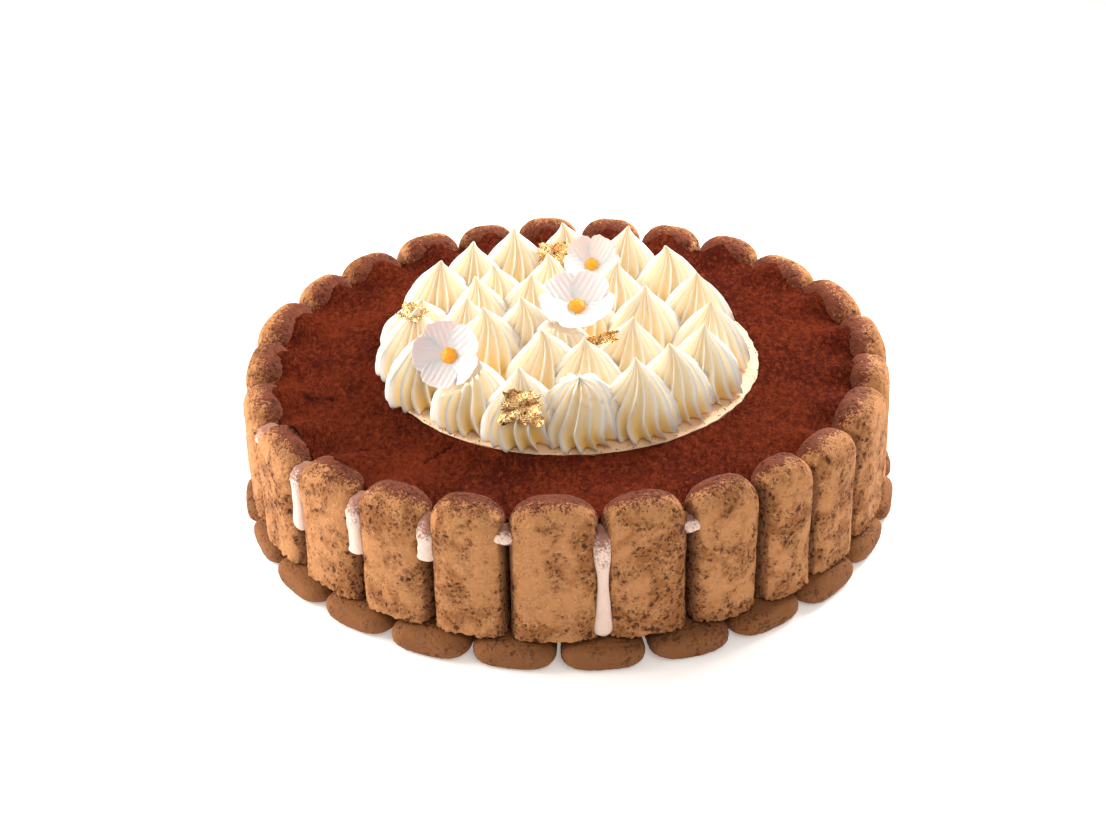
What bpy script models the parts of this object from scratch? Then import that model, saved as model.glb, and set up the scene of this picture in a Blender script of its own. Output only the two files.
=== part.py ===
"""Round tiramisu: ladyfingers stand round a mascarpone filling dusted with cocoa, over a ring of flat ladyfingers.

Piped cream kisses, gold leaf and three sugar flowers sit on a bare round patch in the middle. The frame is in
metres with +Z up, and the origin is the middle of the flat underside.
"""

import bisect
import math
import random

import bmesh
import bpy
from mathutils import Matrix, Vector

MM = 0.001
SEED = 7
GAP = 0.3 * MM

# The ring of upright half biscuits: the width of each in degrees, and how far its tip is above the usual height
FINGERS = (
    *((15.5, 2.0), (14.7, 1.5), (13.1, 1.5), (11.4, 2.0), (13.4, -0.5), (16.7, 0.2), (13.0, -0.3)),
    *((15.4, 0.3), (17.0, 0.6), (16.2, -0.8), (13.6, -0.6), (13.4, -0.6), (13.6, -0.4), (13.6, 0.0)),
    *((13.0, -0.4), (14.2, 0.6), (14.3, -0.3), (13.1, 0.2), (17.6, -0.2), (14.8, -0.6), (15.1, -2.4)),
    *((15.6, -3.0), (14.7, -2.4), (13.8, -1.4), (13.3, 0.8)),
)
FINGER_COUNT = len(FINGERS)
FIRST_GROOVE_DEG = -101.0
RING_RADIUS = 118.0 * MM
FINGER_HALF_DEPTH_OUT = 9.0 * MM
FINGER_HALF_DEPTH_IN = 8.2 * MM
FINGER_SIDE_GAP = 0.35 * MM
FINGER_SQUARENESS = 2.7
TIP_HEIGHT = 61.5 * MM
DOME_HEIGHT = 11.5 * MM
RADIAL_UNEVEN = 0.7 * MM
LEAN_DEG = 1.0

# The flat biscuits under the ring, evenly spaced, which reach out a little further towards one bearing
BASE_THICKNESS = 9.5 * MM
BASE_OUTER_RADIUS = 129.3 * MM
BASE_FIRST_DEG = -85.6
BASE_FURTHER_DEG = -80.0
BASE_FURTHER_BY = 1.7 * MM
BASE_INNER_RADIUS = 84.0 * MM
BASE_NOSE = 8.0 * MM
BASE_SIDE_GAP = 0.5 * MM

# The filling and its cocoa
CREAM_LEVEL = 54.0 * MM
COCOA_THICKNESS = 1.2 * MM
CREAM_CORE_RADIUS = 108.6 * MM
CREAM_RIM_RADIUS = 116.5 * MM
CREAM_RIM_DEPTH = 7.0 * MM
COCOA_RADII = (98.0 * MM, 106.0 * MM, 115.0 * MM)
COCOA_RISE = 6.4 * MM
COCOA_RISE_START = 95.0 * MM
COCOA_RISE_END = 114.0 * MM
SURFACE_STEPS = FINGER_COUNT * 2

# The bare patch under the piped cream
PATCH_RADIUS = 73.0 * MM
PATCH_CENTRE = Vector((2.5, 0.5, 0.0)) * MM

# Drips of cream: the groove each one runs down (0 is the groove after the first finger) and how far it runs
DRIP_LENGTHS = {0: 43.2 * MM, 1: 5 * MM, 20: 8.5 * MM, 21: 27 * MM, 22: 23 * MM, 23: 16.5 * MM, 24: 5 * MM}
DRIP_OUT_RADIUS = 123.6 * MM
DRIP_HALF_WIDTH = 3.5 * MM

# The piped kisses: where the middle of each one stands, its belly radius and its height, in millimetres
KISSES = (
    *((4.2, -58.8, 12.8, 26.0), (25.6, -53.3, 12.8, 27.5), (39.1, -41.7, 12.8, 27.5), (50.9, -28.0, 12.8, 27.5)),
    *((55.7, -7.4, 12.8, 27.5), (52.5, 18.8, 12.8, 27.5), (43.2, 42.9, 12.8, 28.0), (26.4, 61.0, 12.8, 28.2)),
    *((2.0, 66.5, 12.8, 28.2), (-19.7, 63.2, 12.8, 27.8), (-37.0, 50.9, 12.8, 27.5), (-50.0, 36.2, 12.8, 27.5)),
    *((-57.5, 15.5, 12.8, 20.5), (-57.8, -6.1, 12.8, 27.5), (-53.6, -26.8, 12.8, 27.5), (-35.7, -44.5, 12.8, 27.5)),
    *((-17.1, -56.8, 12.8, 27.0), (-33.9, 19.5, 12.0, 27.0), (-26.8, 32.9, 12.0, 26.0), (-13.4, 21.9, 12.0, 27.0)),
    *((-4.7, 39.9, 13.0, 26.5), (-15.6, 1.8, 12.6, 26.5), (-29.9, -7.0, 13.2, 27.0), (-38.7, 4.8, 12.0, 25.5)),
    *((-2.8, -10.6, 12.6, 26.8), (-7.7, -26.5, 13.2, 27.0), (7.0, -33.8, 13.2, 27.0), (24.4, -18.8, 13.2, 27.0)),
    *((31.5, 6.5, 13.2, 27.0), (20.4, 30.6, 13.2, 26.8), (10.0, 17.0, 12.0, 20.0)),
)
KISS_PROFILE = ((0.0, 0.0), (0.94, 0.0), (1.0, 0.2), (0.52, 0.6), (0.0, 1.0))
RIDGE_COUNT = 7
RIDGE_DEPTH = 0.085
KISS_TWIST_DEG = 14.0
BED_CENTRE = Vector((-1.0, 5.4, 0.0)) * MM
BED_RADII = (58.5 * MM, 62.5 * MM)
BED_THICKNESS = 4.0 * MM

# Sugar flowers: centre, lean from straight up and its bearing, spin (all degrees), and size beside FLOWER_RADIUS
FLOWER_RADIUS = 14.6 * MM
PETAL_COUNT = 5
PETAL_THICKNESS = 1.5 * MM
PETAL_CUP = 0.4
FLOWERS = (
    ("flower_centre", Vector((4.8, -1.0, 77.0)) * MM, 24.0, -90.0, -90.0, 1.0),
    ("flower_left", Vector((-43.3, -36.6, 76.5)) * MM, 54.0, -108.0, 96.0, 0.9),
    ("flower_back", Vector((12.0, 48.6, 71.5)) * MM, 40.0, -90.0, -90.0, 0.8),
)

# Gold leaf: centre, width, height, the bearing it faces and how far it leans back, in degrees
GOLD_LEAVES = (
    (Vector((-16.8, -66.6, 70.5)) * MM, 16.0 * MM, 13.0 * MM, -100.0, 30.0),
    (Vector((-59.0, -5.5, 79.0)) * MM, 13.0 * MM, 8.0 * MM, -130.0, 60.0),
    (Vector((13.5, -27.5, 77.0)) * MM, 14.0 * MM, 4.5 * MM, -70.0, 35.0),
    (Vector((-3.5, 57.0, 73.0)) * MM, 14.0 * MM, 10.0 * MM, -95.0, 35.0),
)
GOLD_THICKNESS = 0.7 * MM


def clear_scene():
    for obj in list(bpy.data.objects):
        bpy.data.objects.remove(obj, do_unlink=True)


def collection(name, hidden=False):
    made = bpy.data.collections.new(name)
    bpy.context.scene.collection.children.link(made)
    made.hide_render = hidden
    return made


def material(name, colour, roughness, metallic=0.0):
    made = bpy.data.materials.new(name)
    made.use_nodes = True
    shader = made.node_tree.nodes["Principled BSDF"]
    shader.inputs["Base Color"].default_value = (*colour, 1.0)
    shader.inputs["Roughness"].default_value = roughness
    shader.inputs["Metallic"].default_value = metallic
    return made


def object_from(bm, name, home, finish, smooth_below_deg=50.0):
    """Turns a bmesh into a named object of one material, shaded smooth apart from its sharp edges."""
    bmesh.ops.recalc_face_normals(bm, faces=bm.faces)
    if bm.calc_volume(signed=True) < 0:
        bmesh.ops.reverse_faces(bm, faces=bm.faces)
    mesh = bpy.data.meshes.new(name)
    bm.to_mesh(mesh)
    bm.free()
    mesh.shade_smooth()
    mesh.set_sharp_from_angle(angle=math.radians(smooth_below_deg))
    if finish is not None:
        mesh.materials.append(finish)
    obj = bpy.data.objects.new(name, mesh)
    home.objects.link(obj)
    return obj


def signed_power(value, power):
    return math.copysign(abs(value) ** power, value)


def smooth_step(value):
    clipped = min(max(value, 0.0), 1.0)
    return clipped * clipped * (3 - 2 * clipped)


def reshaped_sphere(segments, rings, place):
    """A sphere primitive whose points are moved by place(share, angle, ring_radius).

    share runs from 0 at the lower pole to 1 at the upper one, and ring_radius is 0 at either pole.
    """
    bm = bmesh.new()
    bmesh.ops.create_uvsphere(bm, u_segments=segments, v_segments=rings, radius=1.0)
    for vert in bm.verts:
        ring_radius = math.hypot(vert.co.x, vert.co.y)
        if ring_radius < 1e-4:
            ring_radius = 0.0
        share = math.asin(max(-1.0, min(1.0, vert.co.z))) / math.pi + 0.5
        vert.co = place(share, math.atan2(vert.co.y, vert.co.x), ring_radius)
    return bm


def bake_modifiers(obj):
    """Replaces the object's mesh with the one that its modifiers make, and drops them."""
    graph = bpy.context.evaluated_depsgraph_get()
    made = bpy.data.meshes.new_from_object(obj.evaluated_get(graph))
    obj.modifiers.clear()
    obj.data = made


def boolean(obj, others, operation):
    """Joins or cuts an object with every object of a collection, and removes those objects."""
    modifier = obj.modifiers.new(operation.title(), "BOOLEAN")
    modifier.operation = operation
    modifier.operand_type = "COLLECTION"
    modifier.collection = others
    modifier.solver = "EXACT"
    bpy.context.view_layer.update()
    bake_modifiers(obj)
    for other in list(others.objects):
        bpy.data.objects.remove(other, do_unlink=True)


def keep_largest_body(obj):
    """Drops the loose scraps that a cut leaves."""
    bm = bmesh.new()
    bm.from_mesh(obj.data)
    waiting = set(bm.verts)
    bodies = []
    while waiting:
        body = [waiting.pop()]
        for vert in body:
            near = {edge.other_vert(vert) for edge in vert.link_edges} & waiting
            waiting -= near
            body.extend(near)
        bodies.append(body)
    bodies.sort(key=len)
    bmesh.ops.delete(bm, geom=[vert for body in bodies[:-1] for vert in body], context="VERTS")
    bm.to_mesh(obj.data)
    bm.free()


def finger_layout():
    """Each upright's middle angle and angular width in radians, going round from the first groove."""
    total = sum(width for width, _ in FINGERS)
    widths = [2 * math.pi * width / total for width, _ in FINGERS]
    angles = []
    angle = math.radians(FIRST_GROOVE_DEG)
    for width in widths:
        angles.append(angle + width / 2)
        angle += width
    return angles, widths


ANGLES, WIDTHS = finger_layout()


def across_finger(angle):
    """How far an angle lies across the finger that it meets: 0 at the finger's middle, 0.5 at a groove."""
    start = ANGLES[0] - WIDTHS[0] / 2
    turned = (angle - start) % (2 * math.pi)
    edges = [ANGLES[number] - WIDTHS[number] / 2 - start for number in range(FINGER_COUNT)]
    number = bisect.bisect_right(edges, turned) - 1
    return abs(turned - edges[number] - WIDTHS[number] / 2) / WIDTHS[number]


def groove_angle(number):
    return ANGLES[number] + WIDTHS[number] / 2


def surface_height(radius, angle):
    """The top of the cocoa: nearly level, and rising against the inner side of each finger's tip."""
    rise = smooth_step((radius - COCOA_RISE_START) / (COCOA_RISE_END - COCOA_RISE_START))
    swell = math.cos(math.pi * across_finger(angle)) ** 2
    waves = 0.35 * MM * math.sin(3 * angle + 1.0) + 0.25 * MM * math.sin(7 * angle)
    return CREAM_LEVEL + rise * (COCOA_RISE * swell - 0.5 * MM) + waves * smooth_step(radius / PATCH_RADIUS - 1)


def finger_mesh(width, height, grow=0.0):
    """Half a ladyfinger on end: a cut foot at z 0, a domed tip, a crowned outer face at +Y and a flatter inner one."""
    half_width = RING_RADIUS * width / 2 - FINGER_SIDE_GAP + grow
    shoulder = height - DOME_HEIGHT

    def place(share, angle, ring_radius):
        size = 1.0 if ring_radius else 0.0
        z = -grow
        if share > 0.3:
            climb = math.sin((share - 0.4) / 0.6 * math.pi / 2)
            size *= (1 - min(climb * climb, 1.0)) ** 0.38
            z = shoulder + (DOME_HEIGHT + grow) * climb
        depth = FINGER_HALF_DEPTH_OUT if math.sin(angle) > 0 else FINGER_HALF_DEPTH_IN
        x = half_width * size * signed_power(math.cos(angle), 2 / FINGER_SQUARENESS)
        y = (depth + grow) * size * signed_power(math.sin(angle), 2 / FINGER_SQUARENESS)
        return Vector((x, y, z))

    return reshaped_sphere(12, 5, place)


def make_fingers(home, finish, cutters):
    """The upright ring. Each finger's slightly larger twin goes to the cutters, to keep the filling clear of it."""
    draw = random.Random(SEED + 1)
    foot = BASE_THICKNESS + GAP
    for number in range(FINGER_COUNT):
        height = TIP_HEIGHT - foot + FINGERS[number][1] * MM
        radius = RING_RADIUS + RADIAL_UNEVEN * draw.uniform(-1, 1)
        lean = math.radians(LEAN_DEG * draw.uniform(-1, 1))
        name = f"ladyfinger_{number + 1:02d}"
        finger = object_from(finger_mesh(WIDTHS[number], height), name, home, finish)
        twin = object_from(finger_mesh(WIDTHS[number], height, grow=GAP), name + "_room", cutters, None)
        for obj in (finger, twin):
            obj.location = (radius * math.cos(ANGLES[number]), radius * math.sin(ANGLES[number]), foot)
            obj.rotation_euler = (lean, 0.0, ANGLES[number] - math.pi / 2)
        twin.display_type = "WIRE"
        twin.hide_render = True


def base_mesh(width, outer, draw):
    """A flat ladyfinger that points outwards along +Y: blunt nose, cut inner end, flat underside."""
    length = (outer - BASE_INNER_RADIUS) * (1 + 0.012 * draw.uniform(-1, 1))
    middle = BASE_THICKNESS * 0.46
    half_thickness = BASE_THICKNESS - middle

    def place(share, angle, ring_radius):
        size = 1.0 if ring_radius else 0.0
        along = 0.0
        if share > 0.3:
            reach = math.sin((share - 0.4) / 0.6 * math.pi / 2)
            size *= (1 - min(reach * reach, 1.0)) ** 0.2
            along = length - BASE_NOSE + BASE_NOSE * reach
        wedge = (BASE_INNER_RADIUS + min(along, length - BASE_NOSE)) * math.tan(width / 2) - BASE_SIDE_GAP
        x = wedge * size * signed_power(math.cos(angle), 0.8)
        z = middle + half_thickness * size * signed_power(math.sin(angle), 0.8)
        return Vector((x, BASE_INNER_RADIUS + along, max(z, 0.0)))

    return reshaped_sphere(8, 5, place)


def make_base(home, finish):
    draw = random.Random(SEED + 2)
    pitch = 2 * math.pi / FINGER_COUNT
    for number in range(FINGER_COUNT):
        name = f"base_biscuit_{number + 1:02d}"
        angle = math.radians(BASE_FIRST_DEG) + pitch * number
        outer = BASE_OUTER_RADIUS + BASE_FURTHER_BY * math.cos(angle - math.radians(BASE_FURTHER_DEG))
        biscuit = object_from(base_mesh(pitch, outer, draw), name, home, finish)
        biscuit.rotation_euler.z = angle - math.pi / 2


def polar_sheet(radii, steps, centre_of, height):
    """A round sheet of rings of points, from a grid primitive wrapped round the axis and closed along its seam."""
    bm = bmesh.new()
    bmesh.ops.create_grid(bm, x_segments=steps, y_segments=len(radii) - 1, size=0.5)
    for vert in bm.verts:
        angle = (vert.co.x + 0.5) * 2 * math.pi
        radius = radii[round((vert.co.y + 0.5) * (len(radii) - 1))]
        centre = centre_of(radius)
        x = centre.x + radius * math.cos(angle)
        y = centre.y + radius * math.sin(angle)
        vert.co = (x, y, height(math.hypot(x, y), math.atan2(y, x)))
    bmesh.ops.remove_doubles(bm, verts=bm.verts, dist=0.01 * MM)
    # One way of splitting the quads keeps the cocoa parallel to the filling under it
    bmesh.ops.triangulate(bm, faces=bm.faces, quad_method="FIXED")
    return bm


def patch_follows(radius):
    """Rings near the bare patch are centred on it, and the outer rings on the cake."""
    return PATCH_CENTRE if radius < PATCH_RADIUS + 2 * MM else Vector((0.0, 0.0, 0.0))


def make_filling(home, finish, fingers_room):
    """The mascarpone: a core down to the plate, a top that fills the ring, the raised bare patch and the drips."""
    rim = (PATCH_RADIUS, PATCH_RADIUS + 0.2 * MM, *COCOA_RADII, CREAM_RIM_RADIUS)

    def top(radius, angle):
        away = math.hypot(radius * math.cos(angle) - PATCH_CENTRE.x, radius * math.sin(angle) - PATCH_CENTRE.y)
        if away <= PATCH_RADIUS + 0.1 * MM:
            return CREAM_LEVEL + 0.2 * MM
        return surface_height(radius, angle) - COCOA_THICKNESS - 1.5 * GAP

    bm = polar_sheet((0.0, *rim), SURFACE_STEPS, patch_follows, top)
    lower = bmesh.ops.extrude_face_region(bm, geom=bm.faces[:])["geom"]
    for vert in lower:
        if isinstance(vert, bmesh.types.BMVert):
            vert.co.z = CREAM_LEVEL - CREAM_RIM_DEPTH
    filling = object_from(bm, "mascarpone_filling", home, finish)

    joined = collection("filling_joined", hidden=True)
    foot = BASE_THICKNESS + GAP
    for name, radius, low, high in (
        ("core", CREAM_CORE_RADIUS, foot, CREAM_LEVEL - CREAM_RIM_DEPTH + 1.5 * MM),
        ("hub", BASE_INNER_RADIUS - GAP, 0.0, foot + 2 * MM),
    ):
        bm = bmesh.new()
        bmesh.ops.create_cone(
            bm, cap_ends=True, segments=SURFACE_STEPS, radius1=radius, radius2=radius, depth=high - low
        )
        bmesh.ops.translate(bm, verts=bm.verts, vec=(0.0, 0.0, (low + high) / 2))
        object_from(bm, name, joined, finish)
    for number, length in DRIP_LENGTHS.items():
        make_drip(joined, finish, groove_angle(number), length)
    boolean(filling, joined, "UNION")
    boolean(filling, fingers_room, "DIFFERENCE")
    return filling


def make_drip(home, finish, angle, length):
    """One drip: out of the filling through the notch between two tips, and down the groove to a round end."""
    low = CREAM_LEVEL - length
    bend = CREAM_LEVEL - min(6.0 * MM, 0.7 * length)
    bulb = low + min(2.0 * MM, 0.25 * length)
    path = (
        (110.5 * MM, CREAM_LEVEL - 7.0 * MM, 0.3),
        (114.8 * MM, CREAM_LEVEL - 5.6 * MM, 0.55),
        (118.5 * MM, CREAM_LEVEL - 2.8 * MM, 0.75),
        (121.8 * MM, CREAM_LEVEL - 3.2 * MM, 0.85),
        (DRIP_OUT_RADIUS, bend, 0.9),
        (DRIP_OUT_RADIUS, (bend + bulb) / 2, 0.82),
        (DRIP_OUT_RADIUS, bulb, 1.0),
        (DRIP_OUT_RADIUS, low - 0.4 * MM, 0.6),
    )
    out = Vector((math.cos(angle), math.sin(angle), 0.0))
    side = Vector((-out.y, out.x, 0.0))
    last = len(path) - 1

    def place(share, turn, ring_radius):
        at = min(share * last, last - 1e-6)
        here, there = path[int(at)], path[int(at) + 1]
        blend = at - int(at)
        radius, z, size = (a + (b - a) * blend for a, b in zip(here, there))
        run = Vector((there[0] - here[0], there[1] - here[1])).normalized()
        across = DRIP_HALF_WIDTH * size * (1.0 if ring_radius else 0.0)
        # The section is square to the run: sideways, and in the plane of the run
        sideways = across * math.cos(turn)
        proud = across * math.sin(turn)
        return out * (radius - run.y * proud) + side * sideways + Vector((0.0, 0.0, z + run.x * proud))

    bm = reshaped_sphere(6, last, place)
    object_from(bm, "drip", home, finish)


def make_cocoa(home, finish, fingers_room):
    """The cocoa: a thin sheet round the bare patch, which swells against each tip and is cut clear of the fingers."""
    inner = PATCH_RADIUS + 0.2 * MM + GAP
    bm = polar_sheet((inner, *COCOA_RADII), SURFACE_STEPS, patch_follows, surface_height)
    under = bmesh.ops.extrude_face_region(bm, geom=bm.faces[:])["geom"]
    for vert in under:
        if isinstance(vert, bmesh.types.BMVert):
            vert.co.z -= COCOA_THICKNESS
    cocoa = object_from(bm, "cocoa_dusting", home, finish)
    boolean(cocoa, fingers_room, "DIFFERENCE")


def kiss_mesh(belly, height, twist):
    """A kiss from a star nozzle: ridges that turn a little, a belly near the foot and a pointed tip."""
    last = len(KISS_PROFILE) - 1

    def place(share, angle, ring_radius):
        here = KISS_PROFILE[round(share * last)]
        radius = belly * here[0] * (1 + RIDGE_DEPTH * math.cos(RIDGE_COUNT * angle))
        turned = angle + twist * here[1]
        return Vector((radius * math.cos(turned), radius * math.sin(turned), height * here[1]))

    return reshaped_sphere(2 * RIDGE_COUNT, last, place)


def make_kisses(home, finish, flower_room):
    """The crown of kisses, fused where they touch, with the gold leaf that lies on them."""
    draw = random.Random(SEED + 3)
    foot = CREAM_LEVEL + 0.2 * MM + GAP
    joined = collection("kisses_joined", hidden=True)
    crown = None
    for x, y, belly, height in KISSES:
        twist = math.radians(KISS_TWIST_DEG * draw.uniform(0.3, 1.2))
        home_now = home if crown is None else joined
        kiss = object_from(kiss_mesh(belly * MM, height * MM, twist), "kiss", home_now, finish, 80.0)
        turn = Matrix.Rotation(draw.uniform(0, math.pi), 4, "Z")
        kiss.data.transform(Matrix.Translation((x * MM, y * MM, foot)) @ turn)
        crown = crown or kiss
    crown.name = "piped_cream"
    make_bed(joined, finish, foot)
    for leaf in GOLD_LEAVES:
        make_gold_leaf(joined, finish, *leaf)
    boolean(crown, joined, "UNION")
    boolean(crown, flower_room, "DIFFERENCE")
    keep_largest_body(crown)


def make_bed(home, finish, foot):
    """The low bed of cream that the feet of the kisses spread into."""
    bm = bmesh.new()
    bmesh.ops.create_cone(bm, cap_ends=True, segments=24, radius1=1.0, radius2=1.0, depth=BED_THICKNESS)
    bmesh.ops.scale(bm, verts=bm.verts, vec=(*BED_RADII, 1.0))
    bmesh.ops.translate(bm, verts=bm.verts, vec=BED_CENTRE + Vector((0.0, 0.0, foot + BED_THICKNESS / 2)))
    object_from(bm, "bed", home, finish)


def leaning(centre, lean_deg, bearing_deg, spin_deg=0.0):
    """A matrix that sets a level piece at a centre, leaning towards a bearing."""
    bearing = math.radians(bearing_deg)
    axis = Vector((-math.sin(bearing), math.cos(bearing), 0.0))
    lean = Matrix.Rotation(math.radians(lean_deg), 4, axis)
    return Matrix.Translation(centre) @ lean @ Matrix.Rotation(math.radians(spin_deg), 4, "Z")


def make_gold_leaf(home, finish, centre, width, height, bearing_deg, back_deg):
    """A crumpled flake of leaf, thick enough to be a solid, pressed against the cream."""
    draw = random.Random(round(centre.x / MM * 10))
    bm = bmesh.new()
    bmesh.ops.create_grid(bm, x_segments=3, y_segments=2, size=0.5)
    for vert in bm.verts:
        jog = Vector((draw.uniform(-0.1, 0.1), draw.uniform(-0.1, 0.1)))
        crumple = 0.8 * MM * draw.uniform(-1, 1)
        vert.co = ((vert.co.x + jog.x) * width, (vert.co.y + jog.y) * height, crumple)
    leaf = object_from(bm, "gold_leaf", home, finish)
    leaf.data.transform(leaning(centre, 90.0 - back_deg, bearing_deg, bearing_deg + 90.0))
    thicken = leaf.modifiers.new("Thickness", "SOLIDIFY")
    thicken.thickness = GOLD_THICKNESS
    thicken.offset = 0.0
    bpy.context.view_layer.update()
    bake_modifiers(leaf)


def petal_mesh(number):
    """One petal: a cupped pad that runs outwards and tips up, thick enough to stand alone."""
    turn = 2 * math.pi * number / PETAL_COUNT
    half_length = FLOWER_RADIUS * 0.53
    half_width = FLOWER_RADIUS * 0.52
    half_thickness = PETAL_THICKNESS / 2
    lift = 0.13 * MM * (2 * number % PETAL_COUNT)

    def place(share, angle, ring_radius):
        z = half_thickness * math.sin((share - 0.5) * math.pi)
        x = FLOWER_RADIUS * 0.54 + half_length * ring_radius * math.cos(angle)
        y = half_width * ring_radius * math.sin(angle)
        cup = PETAL_CUP * x * x / FLOWER_RADIUS + 0.35 * y * y / FLOWER_RADIUS + lift
        return Matrix.Rotation(turn, 3, "Z") @ Vector((x, y, z + cup))

    return reshaped_sphere(8, 3, place)


def button_mesh():
    """The flower's round middle."""
    radius = FLOWER_RADIUS * 0.23

    def place(share, angle, ring_radius):
        z = 0.9 * MM + radius * (0.5 * math.sin((share - 0.5) * math.pi))
        return Vector((radius * ring_radius * math.cos(angle), radius * ring_radius * math.sin(angle), z))

    return reshaped_sphere(6, 3, place)


def make_flowers(home, finish, rooms):
    """The sugar flowers, and for each the room above and under it that the cream is pressed out of."""
    for name, centre, lean_deg, bearing_deg, spin_deg, size in FLOWERS:
        place = leaning(centre, lean_deg, bearing_deg, spin_deg) @ Matrix.Scale(size, 4)
        joined = collection(name + "_joined", hidden=True)
        flower = object_from(button_mesh(), name, home, finish)
        for number in range(PETAL_COUNT):
            object_from(petal_mesh(number), "petal", joined, finish)
        boolean(flower, joined, "UNION")
        flower.data.transform(place)

        low = -PETAL_THICKNESS / 2 - 3 * GAP
        for start, wide_low, wide_high, depth in (
            (low, FLOWER_RADIUS * 0.68, FLOWER_RADIUS * 1.18, 5.5 * MM),
            (low + 5.4 * MM, FLOWER_RADIUS * 1.08, FLOWER_RADIUS * 1.08, 12.0 * MM),
        ):
            bm = bmesh.new()
            bmesh.ops.create_cone(
                bm, cap_ends=True, segments=16, radius1=wide_low, radius2=wide_high, depth=depth
            )
            bmesh.ops.translate(bm, verts=bm.verts, vec=(0.0, 0.0, start + depth / 2))
            bmesh.ops.transform(bm, matrix=place, verts=bm.verts)
            room = object_from(bm, name + "_room", rooms, None)
            room.hide_render = True


def twins_of(source, name):
    """A second collection of the same cutters, because each cut uses its cutters up."""
    made = collection(name, hidden=True)
    for obj in source.objects:
        twin = obj.copy()
        made.objects.link(twin)
    return made


def main():
    clear_scene()
    biscuit = material("biscuit", (0.62, 0.36, 0.17), 0.85)
    cream = material("mascarpone", (0.86, 0.76, 0.66), 0.5)
    cocoa = material("cocoa", (0.14, 0.035, 0.018), 0.95)
    piped = material("piped_cream", (0.93, 0.85, 0.62), 0.35)
    sugar = material("sugar", (0.9, 0.9, 0.92), 0.45)

    cake = collection("tiramisu")
    fingers_room = collection("fingers_room", hidden=True)
    flower_room = collection("flower_room", hidden=True)
    make_fingers(cake, biscuit, fingers_room)
    make_base(cake, biscuit)
    bpy.context.view_layer.update()
    make_cocoa(cake, cocoa, twins_of(fingers_room, "fingers_room_cocoa"))
    make_filling(cake, cream, fingers_room)
    make_flowers(cake, sugar, flower_room)
    make_kisses(cake, piped, flower_room)


main()
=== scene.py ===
"""Round tiramisu: porous ladyfingers, cocoa, mascarpone, piped kisses, gold leaf and sugar flowers.

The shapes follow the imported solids, in metres with +Z up. Every piece is made by one operator, and the sizes and
colours are properties of the scene.
"""

import math
import random

import bmesh
import bpy
import numpy as np
from mathutils import Matrix, Vector


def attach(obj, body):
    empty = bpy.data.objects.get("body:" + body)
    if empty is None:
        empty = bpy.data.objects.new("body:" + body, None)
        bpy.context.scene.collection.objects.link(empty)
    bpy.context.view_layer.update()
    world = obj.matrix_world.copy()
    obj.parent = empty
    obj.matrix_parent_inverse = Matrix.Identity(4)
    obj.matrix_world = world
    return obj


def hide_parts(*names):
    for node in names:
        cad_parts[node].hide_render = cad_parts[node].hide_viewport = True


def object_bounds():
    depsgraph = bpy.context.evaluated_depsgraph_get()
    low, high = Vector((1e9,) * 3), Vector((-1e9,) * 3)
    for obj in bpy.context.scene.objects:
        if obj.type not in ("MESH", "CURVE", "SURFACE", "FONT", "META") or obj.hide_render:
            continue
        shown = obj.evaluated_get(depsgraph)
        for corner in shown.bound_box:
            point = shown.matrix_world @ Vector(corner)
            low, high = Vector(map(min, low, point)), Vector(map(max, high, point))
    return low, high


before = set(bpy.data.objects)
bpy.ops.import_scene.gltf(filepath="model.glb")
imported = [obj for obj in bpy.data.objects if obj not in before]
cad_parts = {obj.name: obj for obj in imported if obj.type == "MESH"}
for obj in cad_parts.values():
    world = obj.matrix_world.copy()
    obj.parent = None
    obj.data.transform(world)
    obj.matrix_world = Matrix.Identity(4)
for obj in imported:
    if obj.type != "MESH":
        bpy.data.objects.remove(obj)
CAD_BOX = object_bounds()

bl_info = {
    "name": "Tiramisu",
    "version": (1, 0, 0),
    "blender": (4, 5, 0),
    "location": "View3D > Sidebar > Tiramisu",
    "description": "Builds a round tiramisu with piped cream and sugar flowers",
    "category": "Object",
}

MM = 0.001
SEED = 7
GAP = 0.3 * MM
TURN = 2 * math.pi

# The width of each upright biscuit in degrees, and how far its tip is above the usual height in millimetres
FINGERS = (
    *((15.5, 2.0), (14.7, 1.5), (13.1, 1.5), (11.4, 2.0), (13.4, -0.5), (16.7, 0.2), (13.0, -0.3)),
    *((15.4, 0.3), (17.0, 0.6), (16.2, -0.8), (13.6, -0.6), (13.4, -0.6), (13.6, -0.4), (13.6, 0.0)),
    *((13.0, -0.4), (14.2, 0.6), (14.3, -0.3), (13.1, 0.2), (17.6, -0.2), (14.8, -0.6), (15.1, -2.4)),
    *((15.6, -3.0), (14.7, -2.4), (13.8, -1.4), (13.3, 0.8)),
)
FINGER_COUNT = len(FINGERS)
FIRST_GROOVE_DEG = -101.0
FINGER_SIDE_GAP = 0.35 * MM
FINGER_SQUARENESS = 2.7
FRONT_SQUARENESS = 3.2
# Shares of the rows of a finger's skin: foot, wall and domed tip, and where the tip starts
FOOT_ROWS, WALL_ROWS, TIP_ROWS, TIP_START = 0.07, 0.59, 0.34, 0.66
TIP_BLUNTNESS = 0.38
RADIAL_UNEVEN = 0.7 * MM
LEAN_DEG = 1.0
# Bearing towards which the tips take more of the cocoa colour: painted shade on the front and left tips; the back tips
# take less, as painted light
SHADED_TIPS_BEARING_DEG = 225.0
BASE_INNER_RADIUS = 84.0 * MM
BASE_FIRST_DEG = -85.6
BASE_FURTHER_DEG = -80.0
BASE_FURTHER_BY = 1.7 * MM
BASE_NOSE = 8.0 * MM
NOSE_BLUNTNESS = 0.2
BASE_SIDE_GAP = 0.5 * MM

COCOA_THICKNESS = 1.2 * MM
COCOA_RISE = 6.4 * MM
COCOA_RISE_START = 95.0 * MM
COCOA_RISE_END = 114.0 * MM
PATCH_CENTRE = Vector((2.5, 0.5, 0.0)) * MM
PATCH_RAISE = 0.2 * MM
SPECK_COUNT = 260
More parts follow.
